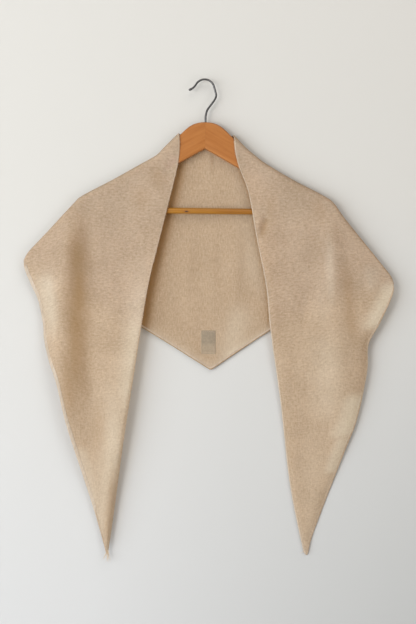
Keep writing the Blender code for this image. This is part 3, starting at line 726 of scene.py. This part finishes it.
class Shading:
    """A node material, with a short way to add and link its nodes."""

    def __init__(self, name):
        self.material = bpy.data.materials.new(name)
        self.material.use_nodes = True
        self.tree = self.material.node_tree
        self.shader = self.tree.nodes["Principled BSDF"]

    def feed(self, socket, value):
        if isinstance(value, bpy.types.NodeSocket):
            self.tree.links.new(value, socket)
        else:
            socket.default_value = value

    def add(self, kind, inputs=None, **settings):
        node = self.tree.nodes.new(kind)
        for key, value in settings.items():
            setattr(node, key, value)
        for key, value in (inputs or {}).items():
            self.feed(node.inputs[key], value)
        return node

    def set(self, **values):
        for key, value in values.items():
            self.feed(self.shader.inputs[key.replace("_", " ")], value)

    def place(self):
        return self.add("ShaderNodeTexCoord").outputs["Object"]

    def parts(self, vector):
        return self.add("ShaderNodeSeparateXYZ", {"Vector": vector}).outputs

    def painted(self, name):
        return self.add("ShaderNodeAttribute", attribute_name=name).outputs["Fac"]

    def math(self, operation, a, b=0.0):
        return self.add("ShaderNodeMath", {0: a, 1: b}, operation=operation).outputs[0]

    def wave(self, value, length):
        return self.math("SINE", self.math("MULTIPLY", value, 2 * math.pi / length))

    def mix(self, factor, a, b, blend="MIX"):
        inputs = {0: factor, 6: a, 7: b}
        return self.add("ShaderNodeMix", inputs, data_type="RGBA", blend_type=blend).outputs[2]

    def noise(self, coordinates, scale, detail=3.0, roughness=0.5):
        mapping = self.add("ShaderNodeMapping", {"Vector": coordinates, "Scale": scale})
        inputs = {"Vector": mapping.outputs["Vector"], "Scale": 1.0, "Detail": detail}
        return self.add("ShaderNodeTexNoise", {**inputs, "Roughness": roughness}).outputs["Fac"]

    def ranged(self, value, low, high, to_low=0.0, to_high=1.0):
        ends = {"From Min": low, "From Max": high, "To Min": to_low, "To Max": to_high}
        return self.add("ShaderNodeMapRange", {"Value": value, **ends}).outputs["Result"]

    def bump(self, height, strength, distance, below=None):
        inputs = {"Height": height, "Strength": strength, "Distance": distance}
        if below is not None:
            inputs["Normal"] = below
        return self.add("ShaderNodeBump", inputs).outputs["Normal"]

    def blend_in(self, share, other):
        """Mixes another shader over the main one."""
        inputs = {0: share, 1: self.shader.outputs[0], 2: other.outputs[0]}
        mixed = self.add("ShaderNodeMixShader", inputs)
        self.feed(self.tree.nodes["Material Output"].inputs["Surface"], mixed.outputs[0])


def woven_cloth(name, passes_light):
    """Fine plain weave with slubs along both thread directions, a soft nap and some light
    passing through. "lengthwise" says how far the threads that run down show over those that
    run across; "pale" is painted light, and "deep" is painted shade, with a deeper tone over the
    back stretch."""
    made = Shading(name)
    threads = made.add("ShaderNodeUVMap", uv_map="threads").outputs["UV"]
    parts = made.parts(threads)
    warp = made.wave(parts["X"], 2 * THREAD_PITCH)
    weft = made.wave(parts["Y"], 2 * THREAD_PITCH)
    weave = made.math("MULTIPLY", warp, weft)
    lengthwise = made.painted("lengthwise")
    across = made.noise(threads, (150.0, 310.0, 1.0), detail=2.0)
    down = made.noise(threads, (480.0, 115.0, 1.0), detail=2.0)
    specks = made.noise(threads, (340.0, 360.0, 1.0), detail=2.0, roughness=0.6)
    across = made.math("MULTIPLY", across, made.ranged(lengthwise, 0.0, 1.0, 1.4, 0.5))
    down = made.math("MULTIPLY", down, made.ranged(lengthwise, 0.0, 1.0, 0.5, 1.4))
    slubs = made.math("ADD", made.math("ADD", across, down), specks)
    clouds = made.ranged(made.noise(threads, (17.0, 17.0, 1.0), detail=2.0), 0.3, 0.7, -1.0, 1.0)
    cloudiness = made.ranged(lengthwise, 0.0, 1.0, 0.17, 0.08)
    unevenness = made.math("MULTIPLY", clouds, cloudiness)
    mottle = made.math("ADD", made.ranged(slubs, 0.9, 2.0), unevenness)
    wool = made.mix(mottle, WOOL_DEEP, WOOL_PALE)
    # Painted light where "pale" is painted, painted shade where "deep" is
    painted_light_share, painted_shade_share = made.painted("pale"), made.painted("deep")
    colour = made.mix(painted_light_share, wool, made.mix(mottle, PAINTED_LIGHT_DEEP, PAINTED_LIGHT_PALE))
    colour = made.mix(made.math("MULTIPLY", painted_shade_share, 0.72), colour, PAINTED_SHADE_TONE)
    made.set(
        Base_Color=colour,
        Roughness=0.92,
        Sheen_Weight=0.45,
        Sheen_Roughness=0.35,
        Sheen_Tint=WOOL_PALE,
        Specular_IOR_Level=0.12,
    )
    fuzz = made.noise(threads, (900.0, 900.0, 1.0), detail=4.0, roughness=0.65)
    normal = made.bump(weave, 0.35, 0.00012)
    normal = made.bump(slubs, 0.5, 0.0004, below=normal)
    normal = made.bump(fuzz, 0.3, 0.0003, below=normal)
    made.set(Normal=normal)
    glow = made.mix(1.0, colour, GLOW_TINT, "MULTIPLY")
    through = made.add("ShaderNodeBsdfTranslucent", {"Color": glow, "Normal": normal})
    made.blend_in(passes_light, through)
    return made.material


def label_tape(name):
    """A bare woven tape: a deeper field above and a paler one below, with fine cross ribs."""
    made = Shading(name)
    place = made.place()
    parts = made.parts(place)
    middle_z = (LABEL_CENTRE_Z - 0.1 * LABEL_HEIGHT) * MM
    upper = made.ranged(parts["Z"], middle_z - 0.003, middle_z + 0.003)
    ribs = made.wave(parts["Z"], 0.0009)
    warp = made.wave(parts["X"], 0.0007)
    cloudy = made.noise(place, (260.0, 260.0, 260.0))
    dark = made.mix(made.ranged(cloudy, 0.3, 0.7), tone(134, 121, 103), tone(152, 137, 117))
    light = made.mix(made.ranged(cloudy, 0.3, 0.7), tone(148, 131, 110), tone(163, 146, 124))
    made.set(Base_Color=made.mix(upper, light, dark), Roughness=0.7, Sheen_Weight=0.1)
    made.set(Normal=made.bump(made.math("ADD", ribs, warp), 0.4, 0.00012))
    return made.material


def sewing_thread(name, deep, pale):
    made = Shading(name)
    twist = made.noise(made.place(), (1500.0, 1500.0, 1500.0))
    colour = made.mix(twist, deep, pale)
    made.set(Base_Color=colour, Roughness=0.75, Normal=made.bump(twist, 0.4, 0.0001))
    return made.material


def varnished_wood(name, deep, pale, grain_angle, knots=()):
    """Straight-grained wood. grain_angle turns the grain in the XZ plane; a knot is x, z, length
    and height in metres, and shows on the front."""
    made = Shading(name)
    place = made.place()
    turned = made.add(
        "ShaderNodeMapping", {"Vector": place, "Rotation": (0.0, grain_angle, 0.0)}
    ).outputs["Vector"]
    streaks = made.noise(turned, (9.0, 170.0, 170.0), detail=5.0, roughness=0.6)
    pores = made.noise(turned, (60.0, 1300.0, 1300.0), detail=2.0)
    rings = made.noise(turned, (3.5, 42.0, 42.0), detail=2.0)
    fine = made.ranged(streaks, 0.32, 0.68, 0.0, 0.7)
    broad = made.ranged(rings, 0.3, 0.7, 0.0, 0.3)
    colour = made.mix(made.math("ADD", fine, broad), deep, pale)
    dots = made.math("MULTIPLY", made.ranged(pores, 0.60, 0.74), 0.35)
    colour = made.mix(dots, colour, tone(120, 68, 30))
    for knot_x, knot_z, length, height in knots:
        parts = made.parts(place)
        dx = made.math("DIVIDE", made.math("SUBTRACT", parts["X"], knot_x), length / 2)
        dz = made.math("DIVIDE", made.math("SUBTRACT", parts["Z"], knot_z), height / 2)
        squared = made.math("ADD", made.math("MULTIPLY", dx, dx), made.math("MULTIPLY", dz, dz))
        facing = made.math("LESS_THAN", parts["Y"], 0.0)
        heart = made.math("MULTIPLY", made.ranged(squared, 1.7, 0.25), facing)
        halo = made.math("MULTIPLY", made.ranged(squared, 7.0, 1.0, 0.0, 0.5), facing)
        colour = made.mix(halo, colour, tone(140, 86, 40))
        colour = made.mix(heart, colour, tone(58, 30, 25))
    made.set(
        Base_Color=colour,
        Roughness=made.ranged(streaks, 0.3, 0.7, 0.36, 0.50),
        Specular_IOR_Level=0.4,
        Coat_Weight=0.15,
        Coat_Roughness=0.3,
        Normal=made.bump(made.math("ADD", streaks, pores), 0.12, 0.0004),
    )
    return made.material


def dark_wire(name):
    made = Shading(name)
    scuffs = made.noise(made.place(), (220.0, 220.0, 900.0), detail=5.0, roughness=0.65)
    made.set(
        Base_Color=made.mix(made.ranged(scuffs, 0.35, 0.7), tone(74, 74, 76), tone(118, 118, 120)),
        Metallic=0.9,
        Roughness=made.ranged(scuffs, 0.3, 0.7, 0.30, 0.48),
        Normal=made.bump(scuffs, 0.1, 0.0002),
    )
    return made.material


# ---------------------------------------------------------------- cloth pieces


def strongest(patches, x, z):
    """The most that any of the patches gives at each point."""
    return np.maximum(0.0, np.max([crease_depth(patch, x, z) for patch in patches], axis=0))


def front_paleness(x, z):
    strength = strongest(PAINTED_LIGHT_PATCHES, x, z)
    for band in PAINTED_LIGHT_BANDS:
        edge = LEFT.outer if band.is_left else RIGHT.outer
        across = np.exp(-((distance_to(edge, x, z) / band.width) ** 4))
        along = smoothstep((band.from_z - z) / BAND_FADE) * smoothstep((z - band.to_z) / BAND_FADE)
        strength = np.maximum(strength, band.strength * across * along)
    return strength


def back_paleness(x, z):
    margin = bell(distance_to(BACK_BOTTOM_LINE, x, z), PAINTED_LIGHT_MARGIN)
    strength = BACK_PAINTED_LIGHT_OVERALL + PAINTED_LIGHT_MARGIN_STRENGTH * margin
    for patch in BACK_PAINTED_LIGHT_PATCHES:
        strength = strength + crease_depth(patch, x, z)
    return strength


def back_deepness(x, z):
    # Painted shadow beside both front ends' inner edges, over a deeper tone all over the back
    # stretch
    beside_left = SHADOW_DEEPNESS * bell(distance_to(LEFT.inner, x, z), SHADOW_MARGIN)
    beside_right = NARROW_SHADOW_DEEPNESS * bell(distance_to(RIGHT.inner, x, z), NARROW_SHADOW_MARGIN)
    return np.maximum(np.maximum(beside_left, beside_right), BACK_DEEPNESS)


def paint(piece, name, values):
    layer = piece.data.attributes.new(name, "FLOAT", "POINT")
    layer.data.foreach_set("value", values.astype(np.float32).ravel())


def make_cloth(material):
    """The whole sheet as one surface, and its grids of points for what is sewn to it."""
    surface = Surface()
    left, right = front_points(LEFT), front_points(RIGHT)
    back = back_points(left[0][:, [0, 2]], right[0][:, [0, 2]])
    left_index = surface.add_grid(left, thread_grid(left, LEFT.tilt), flip=True)
    right_index = surface.add_grid(right, thread_grid(right, RIGHT.tilt))
    back_threads = thread_grid(back, 0.0)
    neck_start = len(surface.vertices)
    neck = back[0, left.shape[1]:-right.shape[1]]
    back[0, :left.shape[1]] = left[0][::-1]
    back[0, -right.shape[1]:] = right[0]
    surface.vertices += neck.tolist()
    neck_index = np.arange(neck_start, len(surface.vertices))
    top = np.concatenate([left_index[0][::-1], neck_index, right_index[0]])
    surface.add_grid(back, back_threads, shared_top=top, flip=True)
    cloth = surface.make("shawl", material)
    x, _, z = np.array(surface.vertices).T
    front = np.arange(len(x)) < neck_start
    lower = LENGTHWISE_LOW * ramp(z, LENGTHWISE_START_Z, LENGTHWISE_FULL_Z)
    # Painted light ("pale") and painted shade ("deep") over the front ends and the back stretch
    paint(cloth, "pale", np.where(front, front_paleness(x, z), back_paleness(x, z)))
    paint(cloth, "deep", np.where(front, strongest(PAINTED_SHADE_PATCHES, x, z), back_deepness(x, z)))
    paint(cloth, "lengthwise", np.where(front, lower, 1.0))
    thicken(cloth, CLOTH_THICKNESS)
    return cloth, left, right, back


def hem_lines(left, right, back):
    """The long and the short hemmed edge: for each, the lines that run inwards from it."""
    left_rows = left[:0:-HEM_ROWS]
    right_rows = right[1::HEM_ROWS]
    neck = [back[:, column] for column in range(left.shape[1], back.shape[1] - right.shape[1])]
    low = [back[::-1, column] for column in range(1, back.shape[1] - 1)]
    return (
        [*left_rows, *neck, *right_rows],
        [*left_rows[:, ::-1], *low, *right_rows[:, ::-1]],
    )


def short_hem_width(place):
    """The left short edge is turned wider than the others, down to a small notch."""
    x, _, z = place
    if x < LEFT_HEM_OUTSIDE_X and LEFT_HEM_NOTCH_Z < z < LEFT_HEM_TOP_Z:
        return LEFT_HEM_WIDTH
    return HEM_WIDTH


def unit(vector):
    return vector / max(1e-6, np.linalg.norm(vector))


def hem_stations(lines, short):
    """At each station of an edge: its point, points inwards from it, and the cloth's normal."""
    edge = np.array([line[0] for line in lines])
    shares = np.array([max(0.0, share) for share, _ in HEM_SECTION])
    stations = []
    for line, place, ahead in zip(lines, edge, np.gradient(edge, axis=0)):
        width = short_hem_width(place) if short else LONG_HEM_WIDTH
        total = lengths_along(line)
        inner = read_at(np.minimum(shares * width, HEM_MOST * total[-1]), total, line)
        inward = unit(inner[0] - place)
        stations.append(Station(place, inner, inward, unit(np.cross(ahead, inward)), width))
    return stations


def make_hem(name, stations, material, seed):
    """A narrow turned hem that wraps the edge, with soft puckers."""
    dice = random.Random(seed)
    places = np.array([station.place for station in stations])
    lengths = lengths_along(places)
    shares, heights = np.array(HEM_SECTION).T[..., None]
    outside = np.minimum(0.0, shares)
    rings = []
    for station, length in zip(stations, lengths):
        pucker = 1.0 + HEM_PUCKER * math.sin(length / HEM_PUCKER_LENGTH)
        pucker += dice.uniform(-HEM_UNEVENNESS, HEM_UNEVENNESS)
        if station.width == LEFT_HEM_WIDTH:
            pucker *= WIDE_HEM_SWELL
        base = station.inner + station.inward * outside * station.width
        rise = station.normal * heights * pucker
        front, behind = base + rise, base - rise
        rings.append([*front, *behind[-2::-1], front[0]])
    rings = np.array(rings)
    turn = np.arange(rings.shape[1])
    across = np.linspace(0.0, 2 * HEM_WIDTH, len(turn))
    surface = Surface()
    surface.add_grid(rings, np.stack(np.meshgrid(across, lengths), axis=-1)[..., ::-1])
    made = surface.make(name, material)
    x, _, z = places.T[..., None]
    width = np.array([station.width for station in stations])[:, None]
    wide = width == LEFT_HEM_WIDTH
    lit = (width == LONG_HEM_WIDTH) & (x > LIT_HEM_FROM_X)
    corner = (width == HEM_WIDTH) & (np.abs(x) < CORNER_HEM_REACH) & (z > CORNER_HEM_LOW_Z)
    sewn_down = (turn < 2) | (turn == turn[-1])
    outermost = np.abs(turn - len(HEM_SECTION) + 1) <= 2
    # Painted light on the wide strip and the corner hem, a painted highlight on the lit long hem,
    # and painted shade where the wide strip is sewn down and along the corner hem's edge
    pale = WIDE_HEM_PAINTED_LIGHT * wide * ~sewn_down + LIT_HEM_PAINTED_LIGHT * lit
    paint(made, "pale", pale + CORNER_HEM_PAINTED_LIGHT * corner * ~outermost)
    deep = WIDE_HEM_SEWN_SHADE * wide * sewn_down + CORNER_HEM_EDGE_SHADE * corner * outermost
    paint(made, "deep", deep)
    made.modifiers.new("join", "WELD").merge_threshold = HEM_JOIN
    return made


def add_thread(surface, start, end, bend, section, sides, guide):
    """A thin tube that bends off its straight line. section has the share of its length and the
    radius at each ring, and guide sets how its sides are turned."""
    axis = (end - start) / max(1e-9, np.linalg.norm(end - start))
    is_across = abs(np.dot(axis, guide)) < 0.9
    side = unit(np.cross(axis, guide if is_across else (1.0, 0.0, 0.0)))
    cosine, sine = circle(sides)
    ring = cosine * side + sine * np.cross(axis, side)
    surface.add_tube(np.array([
        start + (end - start) * share + bend * share ** 2 + radius * ring
        for share, radius in section
    ]))


def add_stitch(surface, start, end, radius):
    """A short thread, tapered into its holes at both ends."""
    section = [(share, radius * swell) for share, swell in STITCH_SECTION]
    add_thread(surface, start, end, 0.0, section, STITCH_SIDES, (0.0, 0.0, 1.0))


def make_stitches(name, stations, material):
    """Running stitches beside the hem's inner turn, on both faces of the cloth."""
    surface = Surface()
    row = np.array([station.inner[1] for station in stations])
    normals = np.array([station.normal for station in stations])
    total = lengths_along(row)
    for step in range(int(total[-1] / STITCH_PITCH)):
        for face, shift in ((1.0, 0.0), (-1.0, 0.5)):
            first = (step + shift) * STITCH_PITCH
            ends = np.array([first, first + STITCH_LENGTH])
            lift = face * STITCH_LIFT * read_at(ends, total, normals)
            add_stitch(surface, *(read_at(ends, total, row) + lift), STITCH_RADIUS)
    return surface.make(name, material)


def make_label(material):
    """The label lies on the back stretch's front face."""
    x = LABEL_CENTRE_X + LABEL_WIDTH * (np.arange(LABEL_COLUMNS + 1) / LABEL_COLUMNS - 0.5)
    z = LABEL_CENTRE_Z + LABEL_HEIGHT * (0.5 - np.arange(LABEL_ROWS + 1) / LABEL_ROWS)
    x, z = np.meshgrid(x, z)
    lift = (CLOTH_THICKNESS + LABEL_THICKNESS) / 2 - LABEL_SINK
    middle_x = np.abs(x - LABEL_CENTRE_X) / (LABEL_WIDTH / 2)
    middle_z = np.abs(z - LABEL_CENTRE_Z) / (LABEL_HEIGHT / 2)
    belly = LABEL_BELLY * (1 - middle_x ** 2) * (1 - middle_z ** 2)
    surface = Surface()
    points = np.stack([x, back_depth(x, z) - lift - belly, z], axis=-1)
    surface.add_grid(points, np.stack([x, z], axis=-1))
    label = surface.make("woven_label", material)
    thicken(label, LABEL_THICKNESS)
    rounded = label.modifiers.new("soft rim", "BEVEL")
    rounded.width = LABEL_RIM * MM
    rounded.segments = 2
    return label


def make_label_stitches(material):
    """Two rows of small stitches that hold the label by its short edges."""
    surface = Surface()
    lift = CLOTH_THICKNESS / 2 + LABEL_THICKNESS + LABEL_STITCH_LIFT
    to_row = LABEL_HEIGHT / 2 - LABEL_STITCH_INSET
    half = np.array([-LABEL_STITCH_LENGTH / 2, LABEL_STITCH_LENGTH / 2])
    for row_z in (LABEL_CENTRE_Z + to_row, LABEL_CENTRE_Z - to_row):
        for step in range(LABEL_STITCHES):
            share = (step + 0.5) / LABEL_STITCHES - 0.5
            x = LABEL_CENTRE_X + LABEL_STITCH_ROW * share + half
            z = np.full(2, row_z)
            ends = np.stack([x, back_depth(x, z) - lift, z], axis=-1)
            add_stitch(surface, *ends, LABEL_STITCH_RADIUS)
    return surface.make("label_stitches", material)


def fibres(starts, ends, bends, radius, sides, steps):
    """Tapered threads as one surface. Each bends off its straight line by its own vector."""
    surface = Surface()
    shares = np.linspace(0.0, 1.0, steps + 1)
    section = [(share, radius * (1.0 - FIBRE_TAPER * share)) for share in shares]
    for start, end, bend in zip(starts, ends, bends):
        add_thread(surface, start, end, bend, section, sides, (0.0, 1.0, 0.0))
    return surface


def make_frayed_threads(tips, material):
    """A small fan of loose thread ends at each tip."""
    dice = np.random.default_rng(FRAY_SEED)
    starts, ends, bends = [], [], []
    for tip, (count, reach) in zip(tips, FRAYS):
        start = tip + dice.uniform(*FRAY_ROOT, (count, 3))
        fall = reach * dice.uniform(0.5, 1.0, (count, 1)) * (0.0, 0.0, -1.0)
        starts.append(start)
        ends.append(start + fall + dice.uniform(*FRAY_FAN, (count, 3)))
        bends.append(dice.uniform(*FRAY_BEND, (count, 3)))
    starts, ends, bends = np.vstack(starts), np.vstack(ends), np.vstack(bends)
    made = fibres(starts, ends, bends, FRAY_RADIUS, sides=5, steps=7)
    return made.make("frayed_threads", material)


def make_nap(lines, material):
    """Fine loose fibres that stand off the folds and edges. Each line has its points, the
    direction outwards at each of them, and how far round from that its fibres may lean."""
    dice = np.random.default_rng(NAP_SEED)
    starts, ends = [], []
    for line, away, spread in lines:
        total = lengths_along(line)
        count = int(total[-1] * NAP_DENSITY)
        along = dice.uniform(0.0, total[-1], count)
        place = read_at(along, total, line)
        aim = read_at(along, total, away) + dice.normal(0.0, NAP_SCATTER, (count, 3))
        aim = aim + (0.0, 1.0, 0.0) * dice.uniform(-spread, spread, (count, 1))
        aim /= np.linalg.norm(aim, axis=1)[:, None]
        starts.append(place)
        ends.append(place + aim * dice.uniform(NAP_SHORT, NAP_LONG, (count, 1)))
    starts, ends = np.vstack(starts), np.vstack(ends)
    bends = dice.normal(0.0, NAP_BEND, starts.shape)
    return fibres(starts, ends, bends, NAP_RADIUS, sides=3, steps=2).make("nap", material)


def outwards(vectors):
    flat = vectors * (1.0, 0.0, 1.0)
    return flat / np.maximum(1e-6, np.linalg.norm(flat, axis=1))[:, None]


def nap_lines(left, right, back):
    """Where the nap shows against what lies behind: over both folds and along every edge."""
    lines = []
    for grid in (left, right):
        lines.append((grid[0], outwards(grid[0] - grid[NAP_FOLD_ROW]), NAP_FOLD_SPREAD))
        for edge, inner in ((grid[:, 0], grid[:, 1]), (grid[:, -1], grid[:, -2])):
            lines.append((edge[2:-2], outwards(edge - inner)[2:-2], NAP_EDGE_SPREAD))
    low = back[-1, 2:-2]
    lines.append((low, outwards(low - back[-3, 2:-2]), NAP_EDGE_SPREAD))
    return lines


# ---------------------------------------------------------------- hanger pieces


def lean(made):
    """Leans a piece with the hanger, about the origin, and keeps its object at the origin."""
    made.rotation_euler.y = HANGER_LEAN
    return made


def make_arm(name, direction, material):
    """One wooden half: the outline, extruded, with round edges but for the glued joint's."""
    half_gap, half_thickness = GLUE_GAP / 2, ARM_THICKNESS / 2
    bm = bmesh.new()
    face = bm.faces.new([
        bm.verts.new((direction * max(x, half_gap) * MM, -half_thickness * MM, z * MM))
        for x, z in [*smooth_line(ARM_TOP, steps=4), ARM_NOTCH]
    ])
    made = bmesh.ops.extrude_face_region(bm, geom=[face])
    moved = [item for item in made["geom"] if isinstance(item, bmesh.types.BMVert)]
    bmesh.ops.translate(bm, verts=moved, vec=(0.0, ARM_THICKNESS * MM, 0.0))
    bmesh.ops.recalc_face_normals(bm, faces=bm.faces)
    rim = [
        edge
        for edge in bm.edges
        if abs(edge.verts[0].co.y - edge.verts[1].co.y) < 1e-6
        and max(abs(v.co.x) for v in edge.verts) > GLUE_GAP * MM
    ]
    bmesh.ops.bevel(bm, geom=rim, offset=ARM_BEVEL * MM, segments=5, profile=0.5, affect="EDGES")
    mesh = bpy.data.meshes.new(name)
    bm.to_mesh(mesh)
    bm.free()
    mesh.shade_smooth()
    mesh.set_sharp_from_angle(angle=math.radians(35))
    mesh.materials.append(material)
    return lean(link(name, mesh))


def make_bar(material):
    """The trouser bar: a turned dowel, a little uneven."""
    dice = random.Random(BAR_SEED)
    cosine, sine = circle(sides=40)
    rings = []
    for station in range(BAR_STATIONS + 1):
        share = station / BAR_STATIONS
        radius = BAR_RADIUS + BAR_WAVE * math.sin(9 * share)
        radius += dice.uniform(-BAR_UNEVENNESS, BAR_UNEVENNESS)
        if station in (0, BAR_STATIONS):
            radius -= BAR_END_ROUND
        x = np.full(cosine.shape, BAR_HALF_LENGTH * (2 * share - 1))
        rings.append(np.hstack([x, radius * cosine, BAR_Z + radius * sine]))
    surface = Surface()
    surface.add_tube(np.array(rings))
    bar = surface.make("trouser_bar", material)
    bar.data.set_sharp_from_angle(angle=math.radians(40))
    return lean(bar)


def hook_route():
    """The wire's centre line: flared end, round crown, sweep back to the stem, stem."""
    inner_radius = HOOK_RADIUS - WIRE_RADIUS
    centre = np.array([HOOK_CENTRE_X, -math.sqrt(inner_radius ** 2 - HOOK_CENTRE_X ** 2)])

    def on_crown(degrees):
        angle = math.radians(degrees)
        return centre + HOOK_RADIUS * np.array([math.cos(angle), math.sin(angle)])

    start, bend, end = on_crown(CROWN_START), np.array(HOOK_FLARE_BEND), np.array(HOOK_FLARE_END)
    flare_steps, crown_steps = 12, 34
    route = []
    for step in range(flare_steps):
        t = 1.0 - step / flare_steps
        route.append((1 - t) ** 2 * start + 2 * t * (1 - t) * bend + t * t * end)
    turn = (CROWN_END - CROWN_START) / crown_steps
    route += [on_crown(CROWN_START + turn * step) for step in range(crown_steps + 1)]
    route += list(smooth_line([on_crown(CROWN_END), *HOOK_SWEEP], steps=8))[1:]
    tip = route[0] - (0.8 * WIRE_RADIUS, 0.0)
    return np.array([tip, *route, (0.0, HOOK_END_Z)])


def make_hook(material):
    route = hook_route()
    along = np.gradient(route, axis=0)
    along /= np.linalg.norm(along, axis=1)[:, None]
    swells = [*HOOK_BEAD, *[1.0] * (len(route) - len(HOOK_BEAD))]
    cosine, sine = circle(sides=16)
    rings = []
    for (x, z), ahead, swell in zip(route, along, swells):
        ring = cosine * (-ahead[1], 0.0, ahead[0]) + sine * (0.0, 1.0, 0.0)
        rings.append((x, 0.0, z) + WIRE_RADIUS * swell * ring)
    surface = Surface()
    surface.add_tube(np.array(rings)[:, ::-1])
    return lean(surface.make("wire_hook", material))


# ---------------------------------------------------------------- studio


def stage_plane(name, corners, material):
    mesh = bpy.data.meshes.new(name)
    mesh.from_pydata([[c * MM for c in corner] for corner in corners], [], [[0, 1, 2, 3]])
    mesh.materials.append(material)
    made = link(name, mesh)
    return made


def wall_paint():
    """Matt white paint that shows from the front only, so that the back can be looked at. It
    turns a little cooler downwards, and painted shade darkens it downwards, more so to the right."""
    made = Shading("wall_paint")
    place = made.place()
    parts = made.parts(place)
    rightwards = made.ranged(parts["X"], -0.2, 0.7, 0.1, 1.0)
    downwards = made.ranged(parts["Z"], -0.2, -1.0)
    # Painted shade towards the bottom right
    painted_falloff_shade = made.math("MULTIPLY", rightwards, downwards)
    paint = made.mix(downwards, tone(202, 202, 200), tone(205, 207, 210))
    roller = made.noise(place, (26.0, 26.0, 26.0), detail=4.0)
    made.set(
        Base_Color=made.mix(painted_falloff_shade, paint, tone(173, 176, 176)),
        Roughness=0.95,
        Normal=made.bump(roller, 0.08, 0.002),
    )
    clear = made.add("ShaderNodeBsdfTransparent")
    made.blend_in(made.add("ShaderNodeNewGeometry").outputs["Backfacing"], clear)
    return made.material


def make_studio():
    half, low, high = STUDIO_HALF, FLOOR_Z, WALL_TOP_Z
    wall = stage_plane(
        "backdrop_wall",
        [(-half, WALL_Y, low), (half, WALL_Y, low), (half, WALL_Y, high), (-half, WALL_Y, high)],
        wall_paint(),
    )
    for ray in ("shadow", "diffuse", "glossy", "transmission"):
        setattr(wall, "visible_" + ray, False)
    floor_paint = Shading("floor_paint")
    floor_paint.set(Base_Color=tone(226, 224, 221), Roughness=0.9)
    stage_plane(
        "studio_floor",
        [(-half, -half, low), (half, -half, low), (half, half, low), (-half, half, low)],
        floor_paint.material,
    )
    world = bpy.data.worlds.new("studio_light")
    world.use_nodes = True
    sky = world.node_tree.nodes["Background"]
    sky.inputs["Color"].default_value = SKY_COLOR
    sky.inputs["Strength"].default_value = SKY_STRENGTH
    bpy.context.scene.world = world


def add_light(light):
    data = bpy.data.lights.new(light.name, "AREA")
    data.shape = "RECTANGLE"
    data.size, data.size_y = light.width, light.height
    data.energy = light.watts
    data.color = light.color
    made = link(light.name, data)
    made.location = light.place
    made.rotation_mode = "QUATERNION"
    towards = Vector(light.aim) - Vector(light.place)
    made.rotation_quaternion = towards.to_track_quat("-Z", "Y")


def add_camera():
    data = bpy.data.cameras.new("camera")
    data.sensor_width = 36.0
    data.lens = data.sensor_width / PICTURE_HEIGHT * CAMERA_DISTANCE
    camera = link("camera", data)
    camera.location = (CAMERA_AIM.x * MM, -CAMERA_DISTANCE * MM, CAMERA_AIM.z * MM)
    camera.rotation_euler = (math.radians(90.0), 0.0, 0.0)
    bpy.context.scene.camera = camera


# ---------------------------------------------------------------- the scene


def main():
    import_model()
    bpy.context.scene.view_settings.view_transform = "Standard"

    wool = woven_cloth("pashmina_weave", passes_light=0.56)
    hem_wool = woven_cloth("pashmina_hem", passes_light=0.50)
    thread = sewing_thread("hem_thread", tone(200, 176, 146), tone(228, 210, 184))
    loose = sewing_thread("loose_fibre", tone(232, 218, 198), tone(246, 238, 224))
    cloth, left, right, back = make_cloth(wool)
    long_edge, short_edge = hem_lines(left, right, back)
    long_stations = hem_stations(long_edge, short=False)
    short_stations = hem_stations(short_edge, short=True)
    hems = [
        make_hem("long_hem", long_stations, hem_wool, seed=5),
        make_hem("short_hem", short_stations, hem_wool, seed=6),
    ]
    stitches = [
        make_stitches("long_hem_stitches", long_stations, thread),
        make_stitches("short_hem_stitches", short_stations, thread),
    ]
    threads = make_frayed_threads([left[-1, 0], right[-1, 0]], thread)
    nap = make_nap(nap_lines(left, right, back), loose)
    label = make_label(label_tape("label_tape"))
    label_stitches = make_label_stitches(thread)

    arm_tones = tone(152, 90, 36), tone(176, 115, 55)
    bar_tones = tone(135, 82, 14), tone(172, 119, 31)
    left_wood = varnished_wood("left_wood", *arm_tones, ARM_GRAIN_ANGLE)
    arm_left = make_arm("hanger_half_left", -1, left_wood)
    right_wood = varnished_wood("right_wood", *arm_tones, -ARM_GRAIN_ANGLE)
    arm_right = make_arm("hanger_half_right", 1, right_wood)
    bar = make_bar(varnished_wood("bar_wood_fine", *bar_tones, 0.0, [BAR_KNOT]))
    hook = make_hook(dark_wire("wire_steel"))

    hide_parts("shawl_left_front", "shawl_right_front", "shawl_back")
    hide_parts("label")
    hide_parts("hanger_arm_left")
    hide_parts("hanger_arm_right")
    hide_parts("hanger_bar")
    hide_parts("hanger_hook")
    slots = {
        "pashmina": [cloth, *hems, *stitches, threads, nap],
        "label_weave": [label, label_stitches],
        "hanger_wood": [arm_left, arm_right],
        "bar_wood": [bar],
        "hook_steel": [hook],
    }
    for slot_name, pieces in slots.items():
        for piece in pieces:
            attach(piece, "root")

    make_studio()
    for light in LIGHTS:
        add_light(light)
    add_camera()


main()
